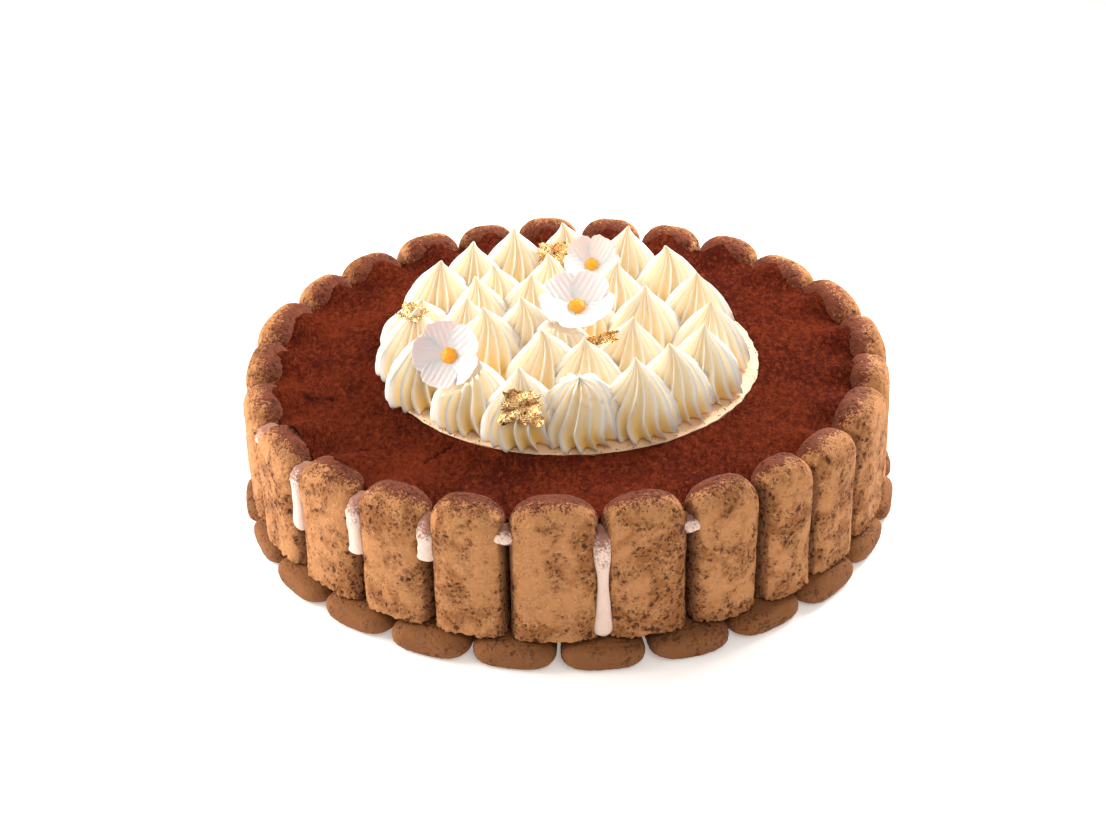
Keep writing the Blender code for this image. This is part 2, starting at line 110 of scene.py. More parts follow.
# How far the wrinkles of the cocoa are drawn out, across and along
WRINKLE_STRETCH = (1.0, 0.55, 1.0)
DRIP_LENGTHS = {0: 43.2 * MM, 1: 5 * MM, 20: 8.5 * MM, 21: 27 * MM, 22: 23 * MM, 23: 16.5 * MM, 24: 5 * MM}
DRIP_OUT_RADIUS = 123.6 * MM
DRIP_HALF_WIDTH = 3.5 * MM
# Cracks in the cocoa: where each one starts and ends, its half width and its depth, in millimetres
CRACKS = (
    (-52.4, -75.4, -43.2, -64.6, 0.55, 0.9),
    (-82.5, -67.6, -73.3, -65.2, 0.6, 0.8),
    (-75.0, -76.0, -63.0, -70.5, 0.5, 0.3),
    (-23.9, -99.3, -23.2, -106.2, 0.5, 0.7),
    (-3.8, -83.5, 24.9, -79.7, 0.6, 0.25),
    (-98.5, -27.6, -90.2, -26.5, 2.0, 1.0),
)

# Kisses: where the middle of each one stands, its belly radius and its height, in millimetres
OUTER_KISSES = (
    *((4.2, -58.8, 12.8, 26.0), (25.6, -53.3, 12.8, 27.5), (39.1, -41.7, 12.8, 27.5), (50.9, -28.0, 12.8, 27.5)),
    *((55.7, -7.4, 12.8, 27.5), (52.5, 18.8, 12.8, 27.5), (43.2, 42.9, 12.8, 28.0), (26.4, 61.0, 12.8, 28.2)),
    *((2.0, 66.5, 12.8, 28.2), (-19.7, 63.2, 12.8, 27.8), (-37.0, 50.9, 12.8, 27.5), (-50.0, 36.2, 12.8, 27.5)),
    *((-57.5, 15.5, 12.8, 20.5), (-57.8, -6.1, 12.8, 27.5), (-53.6, -26.8, 12.8, 27.5), (-35.7, -44.5, 12.8, 27.5)),
    (-17.1, -56.8, 12.8, 27.0),
)
INNER_KISSES = (
    *((-33.9, 19.5, 12.0, 27.0), (-26.8, 32.9, 12.0, 26.0), (-13.4, 21.9, 12.0, 27.0), (-4.7, 39.9, 13.0, 26.5)),
    *((-15.6, 1.8, 12.6, 26.5), (-29.9, -7.0, 13.2, 27.0), (-38.7, 4.8, 12.0, 25.5), (-2.8, -10.6, 12.6, 26.8)),
    *((-7.7, -26.5, 13.2, 27.0), (7.0, -33.8, 13.2, 27.0), (24.4, -18.8, 13.2, 27.0), (31.5, 6.5, 13.2, 27.0)),
    *((20.4, 30.6, 13.2, 26.8), (10.0, 17.0, 12.0, 20.0)),
)
KISS_OUTLINE_HEIGHT = (0.0, 0.06, 0.14, 0.24, 0.36, 0.48, 0.6, 0.72, 0.83, 0.92, 0.97, 1.0)
KISS_OUTLINE_RADIUS = (0.97, 1.0, 1.0, 0.97, 0.89, 0.77, 0.61, 0.43, 0.235, 0.10, 0.05, 0.012)
BLUNT_OUTLINE_RADIUS = (0.97, 1.0, 1.0, 0.99, 0.95, 0.89, 0.81, 0.7, 0.56, 0.4, 0.22, 0.0)
RIDGE_DEPTH = 0.115
BED_CENTRE = Vector((-1.0, 5.4, 0.0)) * MM
BED_RADII = (58.5 * MM, 62.5 * MM)
BED_THICKNESS = 4.0 * MM

PETAL_COUNT = 5
PETAL_THICKNESS = 1.5 * MM
PETAL_CUP = 0.4
# Flowers: centre, lean from straight up and its bearing, spin (all degrees), and size beside the usual one
FLOWERS = (
    ("flower_centre", Vector((4.8, -1.0, 77.0)) * MM, 24.0, -90.0, -90.0, 1.0),
    ("flower_left", Vector((-43.3, -36.6, 76.5)) * MM, 54.0, -108.0, 96.0, 0.9),
    ("flower_back", Vector((12.0, 48.6, 71.5)) * MM, 40.0, -90.0, -90.0, 0.8),
)
GOLD_LEAVES = (
    (Vector((-16.8, -66.6, 70.5)) * MM, 16.0 * MM, 13.0 * MM, -100.0, 30.0),
    (Vector((-59.0, -5.5, 79.0)) * MM, 13.0 * MM, 8.0 * MM, -130.0, 60.0),
    (Vector((13.5, -27.5, 77.0)) * MM, 14.0 * MM, 4.5 * MM, -70.0, 35.0),
    (Vector((-3.5, 57.0, 73.0)) * MM, 14.0 * MM, 10.0 * MM, -95.0, 35.0),
)

LIGHTS = (
    ("key", (0.33, 0.27, 0.36), 0.3, 5.3, (1.0, 0.94, 0.86)),
    ("left", (-0.62, 0.05, 0.3), 0.5, 6.8, (1.0, 0.94, 0.86)),
    ("front", (0.25, -0.7, 0.8), 0.5, 2.2, (1.0, 0.90, 0.78)),
)
LIGHTS_AIM = Vector((0.0, 0.0, 0.04))
WORLD_STRENGTH = 0.5
CAMERA_PLACE = (-5.7 * MM, -653.3 * MM, 405.4 * MM)
CAMERA_TILT_DEG = 60.0
CAMERA_ROLL_DEG = -1.64
CAMERA_LENS = 61.31


def length(name, text, default):
    return bpy.props.FloatProperty(name=name, description=text, default=default, unit="LENGTH", precision=5)


def colour(name, text, default):
    return bpy.props.FloatVectorProperty(
        name=name, description=text, default=default, size=3, min=0.0, max=1.0, subtype="COLOR"
    )


class CakeSizes(bpy.types.PropertyGroup):
    """Sizes of the cake."""

    ring_radius: length("Ring radius", "Middle line of the upright biscuits", 118.0 * MM)
    tip_height: length("Tip height", "Top of the upright biscuits above the plate", 61.5 * MM)
    dome_height: length("Dome height", "Round part of an upright biscuit's tip", 11.5 * MM)
    depth_out: length("Outer half depth", "From the middle line to the crust", 9.0 * MM)
    depth_in: length("Inner half depth", "From the middle line to the filling", 8.2 * MM)
    base_thickness: length("Base thickness", "Height of the flat biscuits", 9.5 * MM)
    base_radius: length("Base radius", "How far the flat biscuits reach out", 129.3 * MM)
    cream_level: length("Cream level", "Top of the cocoa in the middle", 54.0 * MM)
    patch_radius: length("Patch radius", "Bare round patch under the kisses", 73.0 * MM)
    flower_radius: length("Flower radius", "Middle of a sugar flower to a petal's end", 14.6 * MM)
    pit_depth: length("Pit depth", "Depth of the pores in the biscuit crust", 0.75 * MM)
    cocoa_relief: length("Cocoa relief", "Height of the wrinkles in the cocoa", 0.75 * MM)
    ridge_count: bpy.props.IntProperty(name="Ridges", description="Ridges round a kiss", default=16, min=6)


class CakeColours(bpy.types.PropertyGroup):
    """Colours of the cake."""

    crust: colour("Crust", "Pale crust of the biscuits", (0.49, 0.22, 0.085))
    toasted: colour("Toasted", "Golden patches of the crust", (0.29, 0.105, 0.03))
    # Painted shade on the narrow sides of the uprights, where neighbouring biscuits shade each other; on the base noses
    # it is a darker random tone
    flank: colour("Flank", "Narrow sides of the biscuits", (0.22, 0.09, 0.035))
    nose: colour("Base nose", "Flat biscuits under the ring", (0.24, 0.09, 0.026))
    # Painted shade in the pits and pores, far darker than any crust
    pore_shade: colour("Crumb", "Inside of the pores", (0.10, 0.028, 0.009))
    cocoa: colour("Cocoa", "Cocoa powder", (0.125, 0.019, 0.006))
    # Painted shade in the troughs of the cocoa's wrinkles
    cocoa_trough_shade: colour("Damp cocoa", "Cocoa that has drawn moisture", (0.045, 0.006, 0.003))
    cream: colour("Cream", "Mascarpone drips", (0.80, 0.62, 0.54))
    patch: colour("Patch", "Bare cream under the kisses", (0.90, 0.62, 0.40))
    kiss: colour("Kiss", "Piped cream", (0.98, 0.86, 0.66))
    # Painted shade deep between the ridges and low on the kisses, warm yellow as of light scattered in the cream
    kiss_groove: colour("Kiss groove", "Deep between the ridges", (0.99, 0.70, 0.19))
    petal: colour("Petal", "Sugar petals", (0.80, 0.73, 0.73))
    button: colour("Button", "Middle of the flower", (0.95, 0.40, 0.02))
    gold: colour("Gold", "Gold leaf", (0.95, 0.66, 0.34))
    # Pale specks of the crust, partly a painted highlight
    crust_specks_and_highlight: colour("Light specks", "Dry specks of the crust", (0.66, 0.36, 0.16))
    crust_brown: colour("Brown specks", "Darker specks of the crust", (0.27, 0.10, 0.03))
    pore_rim: colour("Pore rim", "Round the wide pores", (0.30, 0.105, 0.032))
    dust_dark: colour("Dark dust", "Damp cocoa on the tips", (0.10, 0.018, 0.007))
    dust_light: colour("Light dust", "Dry cocoa on the tips", (0.19, 0.048, 0.02))
    # Painted highlight on the ridges of the cocoa's wrinkles
    cocoa_ridge_highlight: colour("Dry cocoa", "Ridges of the cocoa's wrinkles", (0.27, 0.065, 0.026))
    # Painted shade deep in the cracks and the dent
    crack: colour("Crack", "Deep in the cocoa's cracks", (0.03, 0.005, 0.003))
    cream_spots: colour("Cream spots", "Damp spots of the mascarpone", (0.76, 0.52, 0.35))
    cream_dust: colour("Dust on cream", "Cocoa on the mascarpone", (0.24, 0.07, 0.035))
    # Painted highlight on top of the ridges
    kiss_crest_highlight: colour("Kiss crest", "On top of the ridges", (0.99, 0.94, 0.88))
    gold_deep: colour("Deep gold", "Creases of the gold leaf", (0.70, 0.36, 0.10))
    # Painted reflection of dark surroundings in the folds of the leaf
    gold_dark_reflection: colour("Dark gold", "Folds that mirror the dark", (0.05, 0.03, 0.012))


class Wire:
    """A socket of a node tree that takes part in sums."""

    def __init__(self, graph, socket):
        self.graph = graph
        self.socket = socket

    def sum(self, operation, *others):
        inputs = dict(enumerate(others))
        return self.graph.add("ShaderNodeMath", {"operation": operation}, inputs)

    def __add__(self, other):
        return self.sum("ADD", self, other)

    __radd__ = __add__

    def __sub__(self, other):
        return self.sum("SUBTRACT", self, other)

    def __rsub__(self, other):
        return self.sum("SUBTRACT", other, self)

    def __mul__(self, other):
        return self.sum("MULTIPLY", self, other)

    __rmul__ = __mul__

    def between(self, low, high):
        """0 below low, 1 above high and smooth between them."""
        values = {0: self, 1: low, 2: high, 3: 0.0, 4: 1.0}
        return self.graph.add("ShaderNodeMapRange", {"interpolation_type": "SMOOTHSTEP"}, values)


class Graph:
    """A node tree that is built by adding nodes."""

    def __init__(self, tree):
        self.tree = tree

    def add(self, kind, settings=None, inputs=None, out=0):
        node = self.tree.nodes.new(kind)
        for name, value in (settings or {}).items():
            setattr(node, name, value)
        for key, value in (inputs or {}).items():
            if isinstance(value, Wire):
                self.tree.links.new(value.socket, node.inputs[key])
            else:
                node.inputs[key].default_value = value
        return Wire(self, node.outputs[out]) if len(node.outputs) else None

    def blend(self, share, first, second):
        """A colour between two colours or colour wires."""
        first, second = (v if isinstance(v, Wire) else (*v, 1.0) for v in (first, second))
        settings = {"data_type": "RGBA", "clamp_factor": True}
        return self.add("ShaderNodeMix", settings, {0: share, 6: first, 7: second}, out=2)

    def noise(self, where, scale, detail=2.0, roughness=0.5, distortion=0.0):
        values = {
            "Vector": where,
            "Scale": scale,
            "Detail": detail,
            "Roughness": roughness,
            "Distortion": distortion,
        }
        return self.add("ShaderNodeTexNoise", {}, values)

    def vector(self, operation, first, second):
        inputs = {0: first, 3 if operation == "SCALE" else 1: second}
        return self.add("ShaderNodeVectorMath", {"operation": operation}, inputs)

    def combined(self, x=0.0, y=0.0, z=0.0):
        return self.add("ShaderNodeCombineXYZ", {}, {0: x, 1: y, 2: z})

    def cells(self, where, scale):
        return self.add("ShaderNodeTexVoronoi", {}, {"Vector": where, "Scale": scale})

    def warped(self, where, scale, distance):
        """Positions pushed about by noise, so that what is drawn there has uneven edges."""
        push = self.add("ShaderNodeTexNoise", {}, {"Vector": where, "Scale": scale}, out=1)
        return self.vector("ADD", where, self.vector("SCALE", push, distance))

    def attribute(self, name):
        """A number that the points carry."""
        if self.tree.bl_idname == "GeometryNodeTree":
            return self.add("GeometryNodeInputNamedAttribute", {"data_type": "FLOAT"}, {"Name": name})
        return self.add("ShaderNodeAttribute", {"attribute_name": name}, out=2)


def biscuit_look(graph, position, tones):
    broad = graph.noise(position, 45.0, 3.0, 0.6)
    patches = graph.noise(position, 95.0, 3.0, 0.55, 0.6)
    mottled = graph.noise(position, 230.0, 4.0, 0.65)
    speckle = graph.noise(position, 700.0, 3.0, 0.6)
    grains = graph.noise(position, 1500.0, 2.0, 0.6)
    where = graph.warped(position, 620.0, 2.6 * MM)
    small, large = graph.cells(where, 640.0), graph.cells(where, 270.0)
    pit, dust, side, plain = (graph.attribute(name) for name in ("pit", "dust", "side", "plain"))
    where_open = broad * 0.35 + patches * 0.4 + mottled * 0.25 + side * 0.06
    fine = (1.0 - small.between(0.18, 0.46)) * where_open.between(0.42, 0.55)
    wide = (1.0 - large.between(0.13, 0.34)) * where_open.between(0.47, 0.57)
    pores = (fine * 0.65 + wide).between(0.0, 1.0)
    body = graph.blend((broad * 0.45 + patches * 0.7).between(0.5, 0.68), tones.crust, tones.toasted)
    # Pale specks, partly a painted highlight on the crust
    body = graph.blend((speckle * 0.5 + mottled * 0.5).between(0.48, 0.66) * 0.6, body, tones.crust_specks_and_highlight)
    body = graph.blend((mottled * 0.6 + grains * 0.4).between(0.48, 0.62) * 0.5, body, tones.crust_brown)
    rim = (1.0 - large.between(0.2, 0.6)) * where_open.between(0.45, 0.58)
    body = graph.blend(rim * 0.4, body, tones.pore_rim)
    # Painted shade: the narrow sides of the uprights are darkened towards the flank colour, with a random edge
    body = graph.blend((side + (mottled - 0.5) * 0.8).between(0.3, 0.85) * 0.85, body, tones.flank)
    nose = graph.blend((mottled * 0.5 + speckle * 0.5).between(0.4, 0.65), tones.nose, tones.flank)
    # Painted shade: the pits and the pores are darkened towards a near-black brown
    pore_shade_share = (pit * 0.6 + pores * 0.9 * (1.0 - plain * 0.4)).between(0.1, 1.0)
    body = graph.blend(pore_shade_share, graph.blend(plain, body, nose), tones.pore_shade)
    powder = (dust + (speckle - 0.5) * 1.3 + (grains - 0.5) * 1.5 + (mottled - 0.5) * 1.0).between(0.36, 0.7)
    cocoa = graph.blend((mottled * 0.6 + grains * 0.4).between(0.35, 0.65), tones.dust_dark, tones.dust_light)
    height = speckle * 0.35 + grains * 0.3 + mottled * 0.3 - pores * 1.1
    return graph.blend(powder, body, cocoa), height, 0.9 * MM, 0.95


def cocoa_look(graph, position, tones):
    broad = graph.noise(position, 22.0, 3.0, 0.6)
    felt = graph.noise(graph.vector("MULTIPLY", position, WRINKLE_STRETCH), 620.0, 4.0, 0.62, 0.6)
    grain = graph.noise(position, 2100.0, 2.0, 0.7)
    # Painted shade and highlight: the colour follows the felt relief of the bumps, darker in its troughs and lighter on
    # its ridges, over a broad random tone
    shade = (broad * 0.4 + felt * 0.6 + (grain - 0.5) * 0.3).between(0.38, 0.62)
    body = graph.blend(shade, tones.cocoa_trough_shade, tones.cocoa)
    body = graph.blend((felt * 0.6 + grain * 0.4).between(0.52, 0.7) * 0.36, body, tones.cocoa_ridge_highlight)
    # Painted shade: the cocoa darkens to near black with the depth of the cracks and the dent
    body = graph.blend(graph.attribute("crack"), body, tones.crack)
    return body, felt * 0.75 + grain * 0.25, 1.2 * MM, 1.0


def cream_look(graph, position, tones):
    spots = graph.noise(position, 300.0, 3.0, 0.6)
    fine = graph.noise(position, 1200.0, 3.0, 0.65)
    body = graph.blend(graph.attribute("bare"), tones.cream, tones.patch)
    body = graph.blend((spots * 0.6 + fine * 0.4).between(0.4, 0.7) * 0.4, body, tones.cream_spots)
    powder = (graph.attribute("dust") + (spots - 0.5) * 0.9 + (fine - 0.5) * 1.2).between(0.3, 0.75)
    return graph.blend(powder * 0.85, body, tones.cream_dust), spots * 0.55 + fine * 0.45, 0.6 * MM, 0.7


def kiss_look(graph, position, tones):
    groove, low = graph.attribute("groove"), graph.attribute("low")
    soft = graph.noise(position, 120.0, 2.0)
    fine = graph.noise(position, 900.0, 3.0, 0.6)
    # Painted shade and highlight: white on the crests, warm yellow deep in the grooves and towards the foot
    depth = (groove * (0.55 + low * 0.5) + low * 0.1 + (soft - 0.5) * 0.2).between(0.2, 1.25)
    crest = graph.blend(groove.between(0.1, 0.5), tones.kiss_crest_highlight, tones.kiss)
    return graph.blend(depth, crest, tones.kiss_groove), fine, 0.15 * MM, 0.2


def petal_look(graph, position, tones):
    body = graph.blend(graph.attribute("button"), tones.petal, tones.button)
    return body, graph.noise(position, 1500.0, 2.0), 0.15 * MM, 0.35


def gold_look(graph, position, tones):
    creases = graph.noise(position, 520.0, 4.0, 0.7, 1.2)
    folds = graph.noise(position, 260.0, 3.0, 0.6, 1.5)
    body = graph.blend(creases.between(0.45, 0.6), tones.gold, tones.gold_deep)
    # Painted reflection: some folds are darkened to near black, as if they mirrored dark surroundings
    body = graph.blend((folds * 0.5 + creases * 0.5).between(0.53, 0.62), body, tones.gold_dark_reflection)
    return body, creases, 0.6 * MM, 1.0


# Each finish: what draws its colour and its bumps, and the values that are the same all over it
FINISHES = {
    "biscuit_crust": (biscuit_look, {"Roughness": 0.8, "Specular IOR Level": 0.25}),
    "cocoa_powder": (cocoa_look, {"Roughness": 1.0, "Specular IOR Level": 0.03}),
    "mascarpone": (
        cream_look,
        {"Roughness": 0.6, "Subsurface Weight": 0.15, "Subsurface Scale": 0.003, "Specular IOR Level": 0.3},
    ),
    "whipped_cream": (
        kiss_look,
        {
            "Roughness": 0.36,
            "Subsurface Weight": 0.2,
            "Subsurface Scale": 0.002,
            "Subsurface Radius": (1.0, 0.9, 0.7),
            "Specular IOR Level": 0.4,
        },
    ),
    "sugar_paste": (
        petal_look,
        {"Roughness": 0.45, "Subsurface Weight": 0.25, "Subsurface Scale": 0.002, "Specular IOR Level": 0.4},
    ),
    "gold_leaf": (gold_look, {"Metallic": 1.0, "Roughness": 0.2}),
    "pale_floor": (
        None,
        {
            "Base Color": (0.95, 0.95, 0.95, 1.0),
            "Roughness": 0.9,
            "Emission Color": (1.0, 0.98, 0.95, 1.0),
            "Emission Strength": 0.3,
        },
    ),
}


def finish(name):
    """A Principled material of the table above."""
    made = bpy.data.materials.get(name)
    if made:
        return made
    look, fixed = FINISHES[name]
    made = bpy.data.materials.new(name)
    made.use_nodes = True
    shader = made.node_tree.nodes["Principled BSDF"]
    for socket, value in fixed.items():
        shader.inputs[socket].default_value = value
    if look:
        graph = Graph(made.node_tree)
        position = graph.add("ShaderNodeTexCoord", out=3)
        tone, height, distance, strength = look(graph, position, bpy.context.scene.cake_colours)
        bumps = graph.add("ShaderNodeBump", {}, {"Height": height, "Distance": distance, "Strength": strength})
        made.node_tree.links.new(tone.socket, shader.inputs["Base Color"])
        made.node_tree.links.new(bumps.socket, shader.inputs["Normal"])
    return made


def unit(value):
    return np.clip(value, 0, 1)


def smooth_step(value):
    clipped = np.clip(value, 0.0, 1.0)
    return clipped * clipped * (3 - 2 * clipped)


def signed_power(value, power):
    return np.sign(value) * np.abs(value) ** power


def ripple(angle, seed, terms=5, lowest=2):
    """A smooth random wave round a circle, between about -1 and 1."""
    draw = random.Random(seed)
    total = 0.0
    for term in range(terms):
        total = total + draw.uniform(0.4, 1.0) * np.sin(angle * (lowest + term * 2) + draw.uniform(0, 6.28))
    return total / terms * 1.6


def finger_layout():
    """Each upright's middle angle and angular width, going round from the first groove."""
    total = sum(width for width, _ in FINGERS)
    widths = [TURN * width / total for width, _ in FINGERS]
    angles = []
    angle = math.radians(FIRST_GROOVE_DEG)
    for width in widths:
        angles.append(angle + width / 2)
        angle += width
    return angles, widths


ANGLES, WIDTHS = finger_layout()


def across_finger(angle):
    """How far angles lie across the finger that each one meets: 0 at its middle, 0.5 at a groove."""
    start = ANGLES[0] - WIDTHS[0] / 2
    turned = (angle - start) % TURN
    edges = np.array([ANGLES[number] - WIDTHS[number] / 2 - start for number in range(FINGER_COUNT)])
    number = np.clip(np.searchsorted(edges, turned, side="right") - 1, 0, FINGER_COUNT - 1)
    widths = np.array(WIDTHS)[number]
    return np.abs(turned - edges[number] - widths / 2) / widths


def surface_height(radius, angle):
    """The top of the cocoa: nearly level, and rising against the inner side of each finger's tip."""
    sizes = bpy.context.scene.cake_sizes
    rise = smooth_step((radius - COCOA_RISE_START) / (COCOA_RISE_END - COCOA_RISE_START))
    swell = np.cos(math.pi * across_finger(angle)) ** 2
    waves = 0.35 * MM * np.sin(3 * angle + 1.0) + 0.25 * MM * np.sin(7 * angle)
    calm = smooth_step(radius / sizes.patch_radius - 1)
    return sizes.cream_level + rise * (COCOA_RISE * swell - 0.5 * MM) + waves * calm


def edge_radius(angle, most, reach=1.0):
    """How far out the filling reaches at an angle: just into a finger's inner face, or a notch's bottom."""
    sizes = bpy.context.scene.cake_sizes
    share = np.clip(np.abs(across_finger(angle)) * 2 * 1.02, 0, 1)
    bulge = (1 - share**FINGER_SQUARENESS) ** (1 / FINGER_SQUARENESS)
    return np.minimum(sizes.ring_radius - sizes.depth_in * bulge * reach + 0.9 * MM, most)

def xyz(x, y, z):
    return np.stack([x, y, z], axis=1)


def swung(x, y, z, angle):
    """Points turned about the upright axis."""
    cos, sin = math.cos(angle), math.sin(angle)
    return xyz(x * cos - y * sin, x * sin + y * cos, z)


def transformed(points, matrix):
    matrix = np.array(matrix)
    return points @ matrix[:3, :3].T + matrix[:3, 3]


def skin(name, rows, columns, place, closed_rows=False):
    """A closed skin of rows by columns of points. v runs from 0 to 1 along the rows, and turn round them.

    place(v, turn) gives the points, and the numbers that they carry for the material.
    """
    last = rows if closed_rows else rows - 1
    v, turn = np.meshgrid(np.arange(rows) / last, np.arange(columns) / columns * TURN, indexing="ij")
    points, values = place(v.ravel(), turn.ravel())
    row, column = np.meshgrid(np.arange(last), np.arange(columns), indexing="ij")
    row, column = row.ravel(), column.ravel()
    this, above, beside = row * columns, (row + 1) % rows * columns, (column + 1) % columns
    quads = np.stack([this + column, this + beside, above + beside, above + column], axis=1)
    mesh = bpy.data.meshes.new(name)
    mesh.from_pydata(points.tolist(), [], quads.tolist())
    keep_values(mesh, **values)
    return tidy(mesh)


def keep_values(mesh, **values):
    """Stores numbers on the points of a mesh, for its material."""
    for name, numbers in values.items():
        layer = mesh.attributes.get(name) or mesh.attributes.new(name, "FLOAT", "POINT")
        layer.data.foreach_set("value", np.full(len(mesh.vertices), numbers, np.float32))


def mesh_of(bm, name):
    mesh = bpy.data.meshes.new(name)
    bm.to_mesh(mesh)
    bm.free()
    return mesh


def tidy(mesh):
    """Closes poles and seams, turns the faces outwards and shades them smooth."""
    bm = bmesh.new()
    bm.from_mesh(mesh)
    bmesh.ops.remove_doubles(bm, verts=bm.verts, dist=0.004 * MM)
    bmesh.ops.dissolve_degenerate(bm, edges=bm.edges, dist=0.001 * MM)
    bmesh.ops.recalc_face_normals(bm, faces=bm.faces)
    if bm.calc_volume(signed=True) < 0:
        bmesh.ops.reverse_faces(bm, faces=bm.faces)
    bm.to_mesh(mesh)
    bm.free()
    mesh.shade_smooth()
    return mesh


def show(mesh, name, material=None):
    obj = bpy.data.objects.new(name, mesh)
    bpy.context.scene.collection.objects.link(obj)
    if material:
        mesh.materials.clear()
        mesh.materials.append(material)
    return obj


def points_of(mesh):
    points = np.empty(len(mesh.vertices) * 3, np.float32)
    mesh.vertices.foreach_get("co", points)
    return points.reshape(-1, 3).astype(float)


def move_points(mesh, points):
    mesh.vertices.foreach_set("co", points.astype(np.float32).ravel())
    mesh.update()


def joined(meshes, name):
    """One mesh of several, with the values on their points."""
    bm = bmesh.new()
    for mesh in meshes:
        bm.from_mesh(mesh)
    made = mesh_of(bm, name)
    names = {layer.name for mesh in meshes for layer in mesh.attributes if layer.data_type == "FLOAT"}
    for value in names:
        numbers = []
        for mesh in meshes:
            part = np.zeros(len(mesh.vertices), np.float32)
            if value in mesh.attributes:
                mesh.attributes[value].data.foreach_get("value", part)
            numbers.append(part)
        keep_values(made, **{value: np.concatenate(numbers)})
    made.shade_smooth()
    return made


def settle(obj, nodes):
    """Keeps a finished piece inside the solid cake's box, and puts it on the frame."""
    low, high = (np.array(corner) for corner in CAD_BOX)
    move_points(obj.data, np.clip(points_of(obj.data), low, high))
    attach(obj, "root")
    if nodes:
        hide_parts(*nodes)


def apply_trees(objects):
    """Turns what the node trees of the objects make into plain meshes."""
    graph = bpy.context.evaluated_depsgraph_get()
    graph.update()
    made = [bpy.data.meshes.new_from_object(obj.evaluated_get(graph)) for obj in objects]
    for obj, mesh in zip(objects, made):
        obj.modifiers.clear()
        obj.data = mesh


def new_tree(name, **inputs):
    """A geometry tree with a mesh going in and out. Its inputs have a default number, or a kind of data."""
    tree = bpy.data.node_groups.new(name, "GeometryNodeTree")
    for way in ("INPUT", "OUTPUT"):
        tree.interface.new_socket("Geometry", in_out=way, socket_type="NodeSocketGeometry")
    for label, value in inputs.items():
        kind = value if isinstance(value, str) else {float: "Float", int: "Int"}[type(value)]
        socket = tree.interface.new_socket(
            label.replace("_", " "), in_out="INPUT", socket_type="NodeSocket" + kind
        )
        if kind != value:
            socket.default_value = value
    graph = Graph(tree)
    graph.add("NodeGroupInput")
    source = tree.nodes["Group Input"]
    return graph, {socket.name.replace(" ", "_"): Wire(graph, socket) for socket in source.outputs if socket.name}


def end_tree(graph, geometry, material):
    realised = graph.add("GeometryNodeRealizeInstances", {}, {"Geometry": geometry})
    coated = graph.add("GeometryNodeSetMaterial", {}, {"Geometry": realised, "Material": material})
    graph.add("NodeGroupOutput", {}, {0: coated})
    return graph.tree


def copies_tree(graph, given, what, turn, size):
    """Ends a tree with a copy of one of its inputs on each point."""
    copied = graph.add("GeometryNodeObjectInfo", {}, {"Object": given[what]}, out="Geometry")
    inputs = {"Points": given["Geometry"], "Instance": copied, "Rotation": turn, "Scale": size}
    placed = graph.add("GeometryNodeInstanceOnPoints", {}, inputs)
    return end_tree(graph, placed, given["Material"])


def use_tree(obj, tree, **values):
    modifier = obj.modifiers.new(tree.name, "NODES")
    modifier.node_group = tree
    for item in tree.interface.items_tree:
        if item.in_out == "INPUT" and item.name.replace(" ", "_") in values:
            modifier[item.identifier] = values[item.name.replace(" ", "_")]


def crust_tree():
    """Pores, grain and swells in a biscuit's crust, with a rougher cut end below the torn height."""
    graph, given = new_tree(
        "crust", Pit_Depth=0.75 * MM, Pit_Scale=330.0, Torn_Height=15.0 * MM, Seed=0.0, Material="Material"
    )
    seed, torn_height, pit_scale = given["Seed"], given["Torn_Height"], given["Pit_Scale"]
    place = graph.add("GeometryNodeInputPosition")
    moved = graph.vector("ADD", place, graph.combined(seed, seed * 0.37, seed * 0.11))
    bent = graph.warped(moved, 260.0, 2.2 * MM)
    patches = graph.noise(moved, 95.0, 2.0)
    height = graph.add("ShaderNodeSeparateXYZ", {}, {0: place}, out=2)
    torn = 1.0 - height.between(torn_height - 4 * MM, torn_height)
    pits = (1.0 - graph.cells(bent, pit_scale).between(0.12, 0.42)) * patches.between(0.36, 0.6)
    pores = 1.0 - graph.cells(bent, pit_scale * 2.1).between(0.1, 0.38)
    pores = pores * (0.25 + patches.between(0.3, 0.6) * 0.4)
    pit = pits.sum("MAXIMUM", pits, pores)
    swell = graph.noise(moved, 48.0, 1.0) - 0.5
    grain = graph.noise(moved, 520.0, 3.0, 0.6) - 0.5
    tear = graph.noise(moved, 380.0, 3.0, 0.7) - 0.53
    depth = swell * (1.5 * MM) + grain * (0.65 * MM) + tear * torn * (3.6 * MM) - pit * given["Pit_Depth"]
    offset = graph.vector("SCALE", graph.add("GeometryNodeInputNormal"), depth)
    pushed = graph.add("GeometryNodeSetPosition", {}, {"Geometry": given["Geometry"], "Offset": offset})
    kind = {"data_type": "FLOAT", "domain": "POINT"}
    inputs = {"Geometry": pushed, "Name": "pit", "Value": pit}
    stored = graph.add("GeometryNodeStoreNamedAttribute", kind, inputs)
    return end_tree(graph, stored, given["Material"])


def felt_tree():
    """Wrinkles of cocoa that has settled: they lift only the upper side of the sheet."""
    graph, given = new_tree("felt", Relief=0.55 * MM, Material="Material")
    place = graph.add("GeometryNodeInputPosition")
    folds = graph.noise(graph.vector("MULTIPLY", place, WRINKLE_STRETCH), 330.0, 4.0, 0.6, 0.7) - 0.5
    fine = graph.noise(place, 900.0, 2.0, 0.6) - 0.5
    broad = graph.noise(place, 45.0, 2.0) - 0.5
    lift = (folds * 1.7 + fine * 1.0 + broad * 2.0) * given["Relief"] * graph.attribute("upper")
    inputs = {"Geometry": given["Geometry"], "Offset": graph.combined(z=lift)}
    return end_tree(graph, graph.add("GeometryNodeSetPosition", {}, inputs), given["Material"])


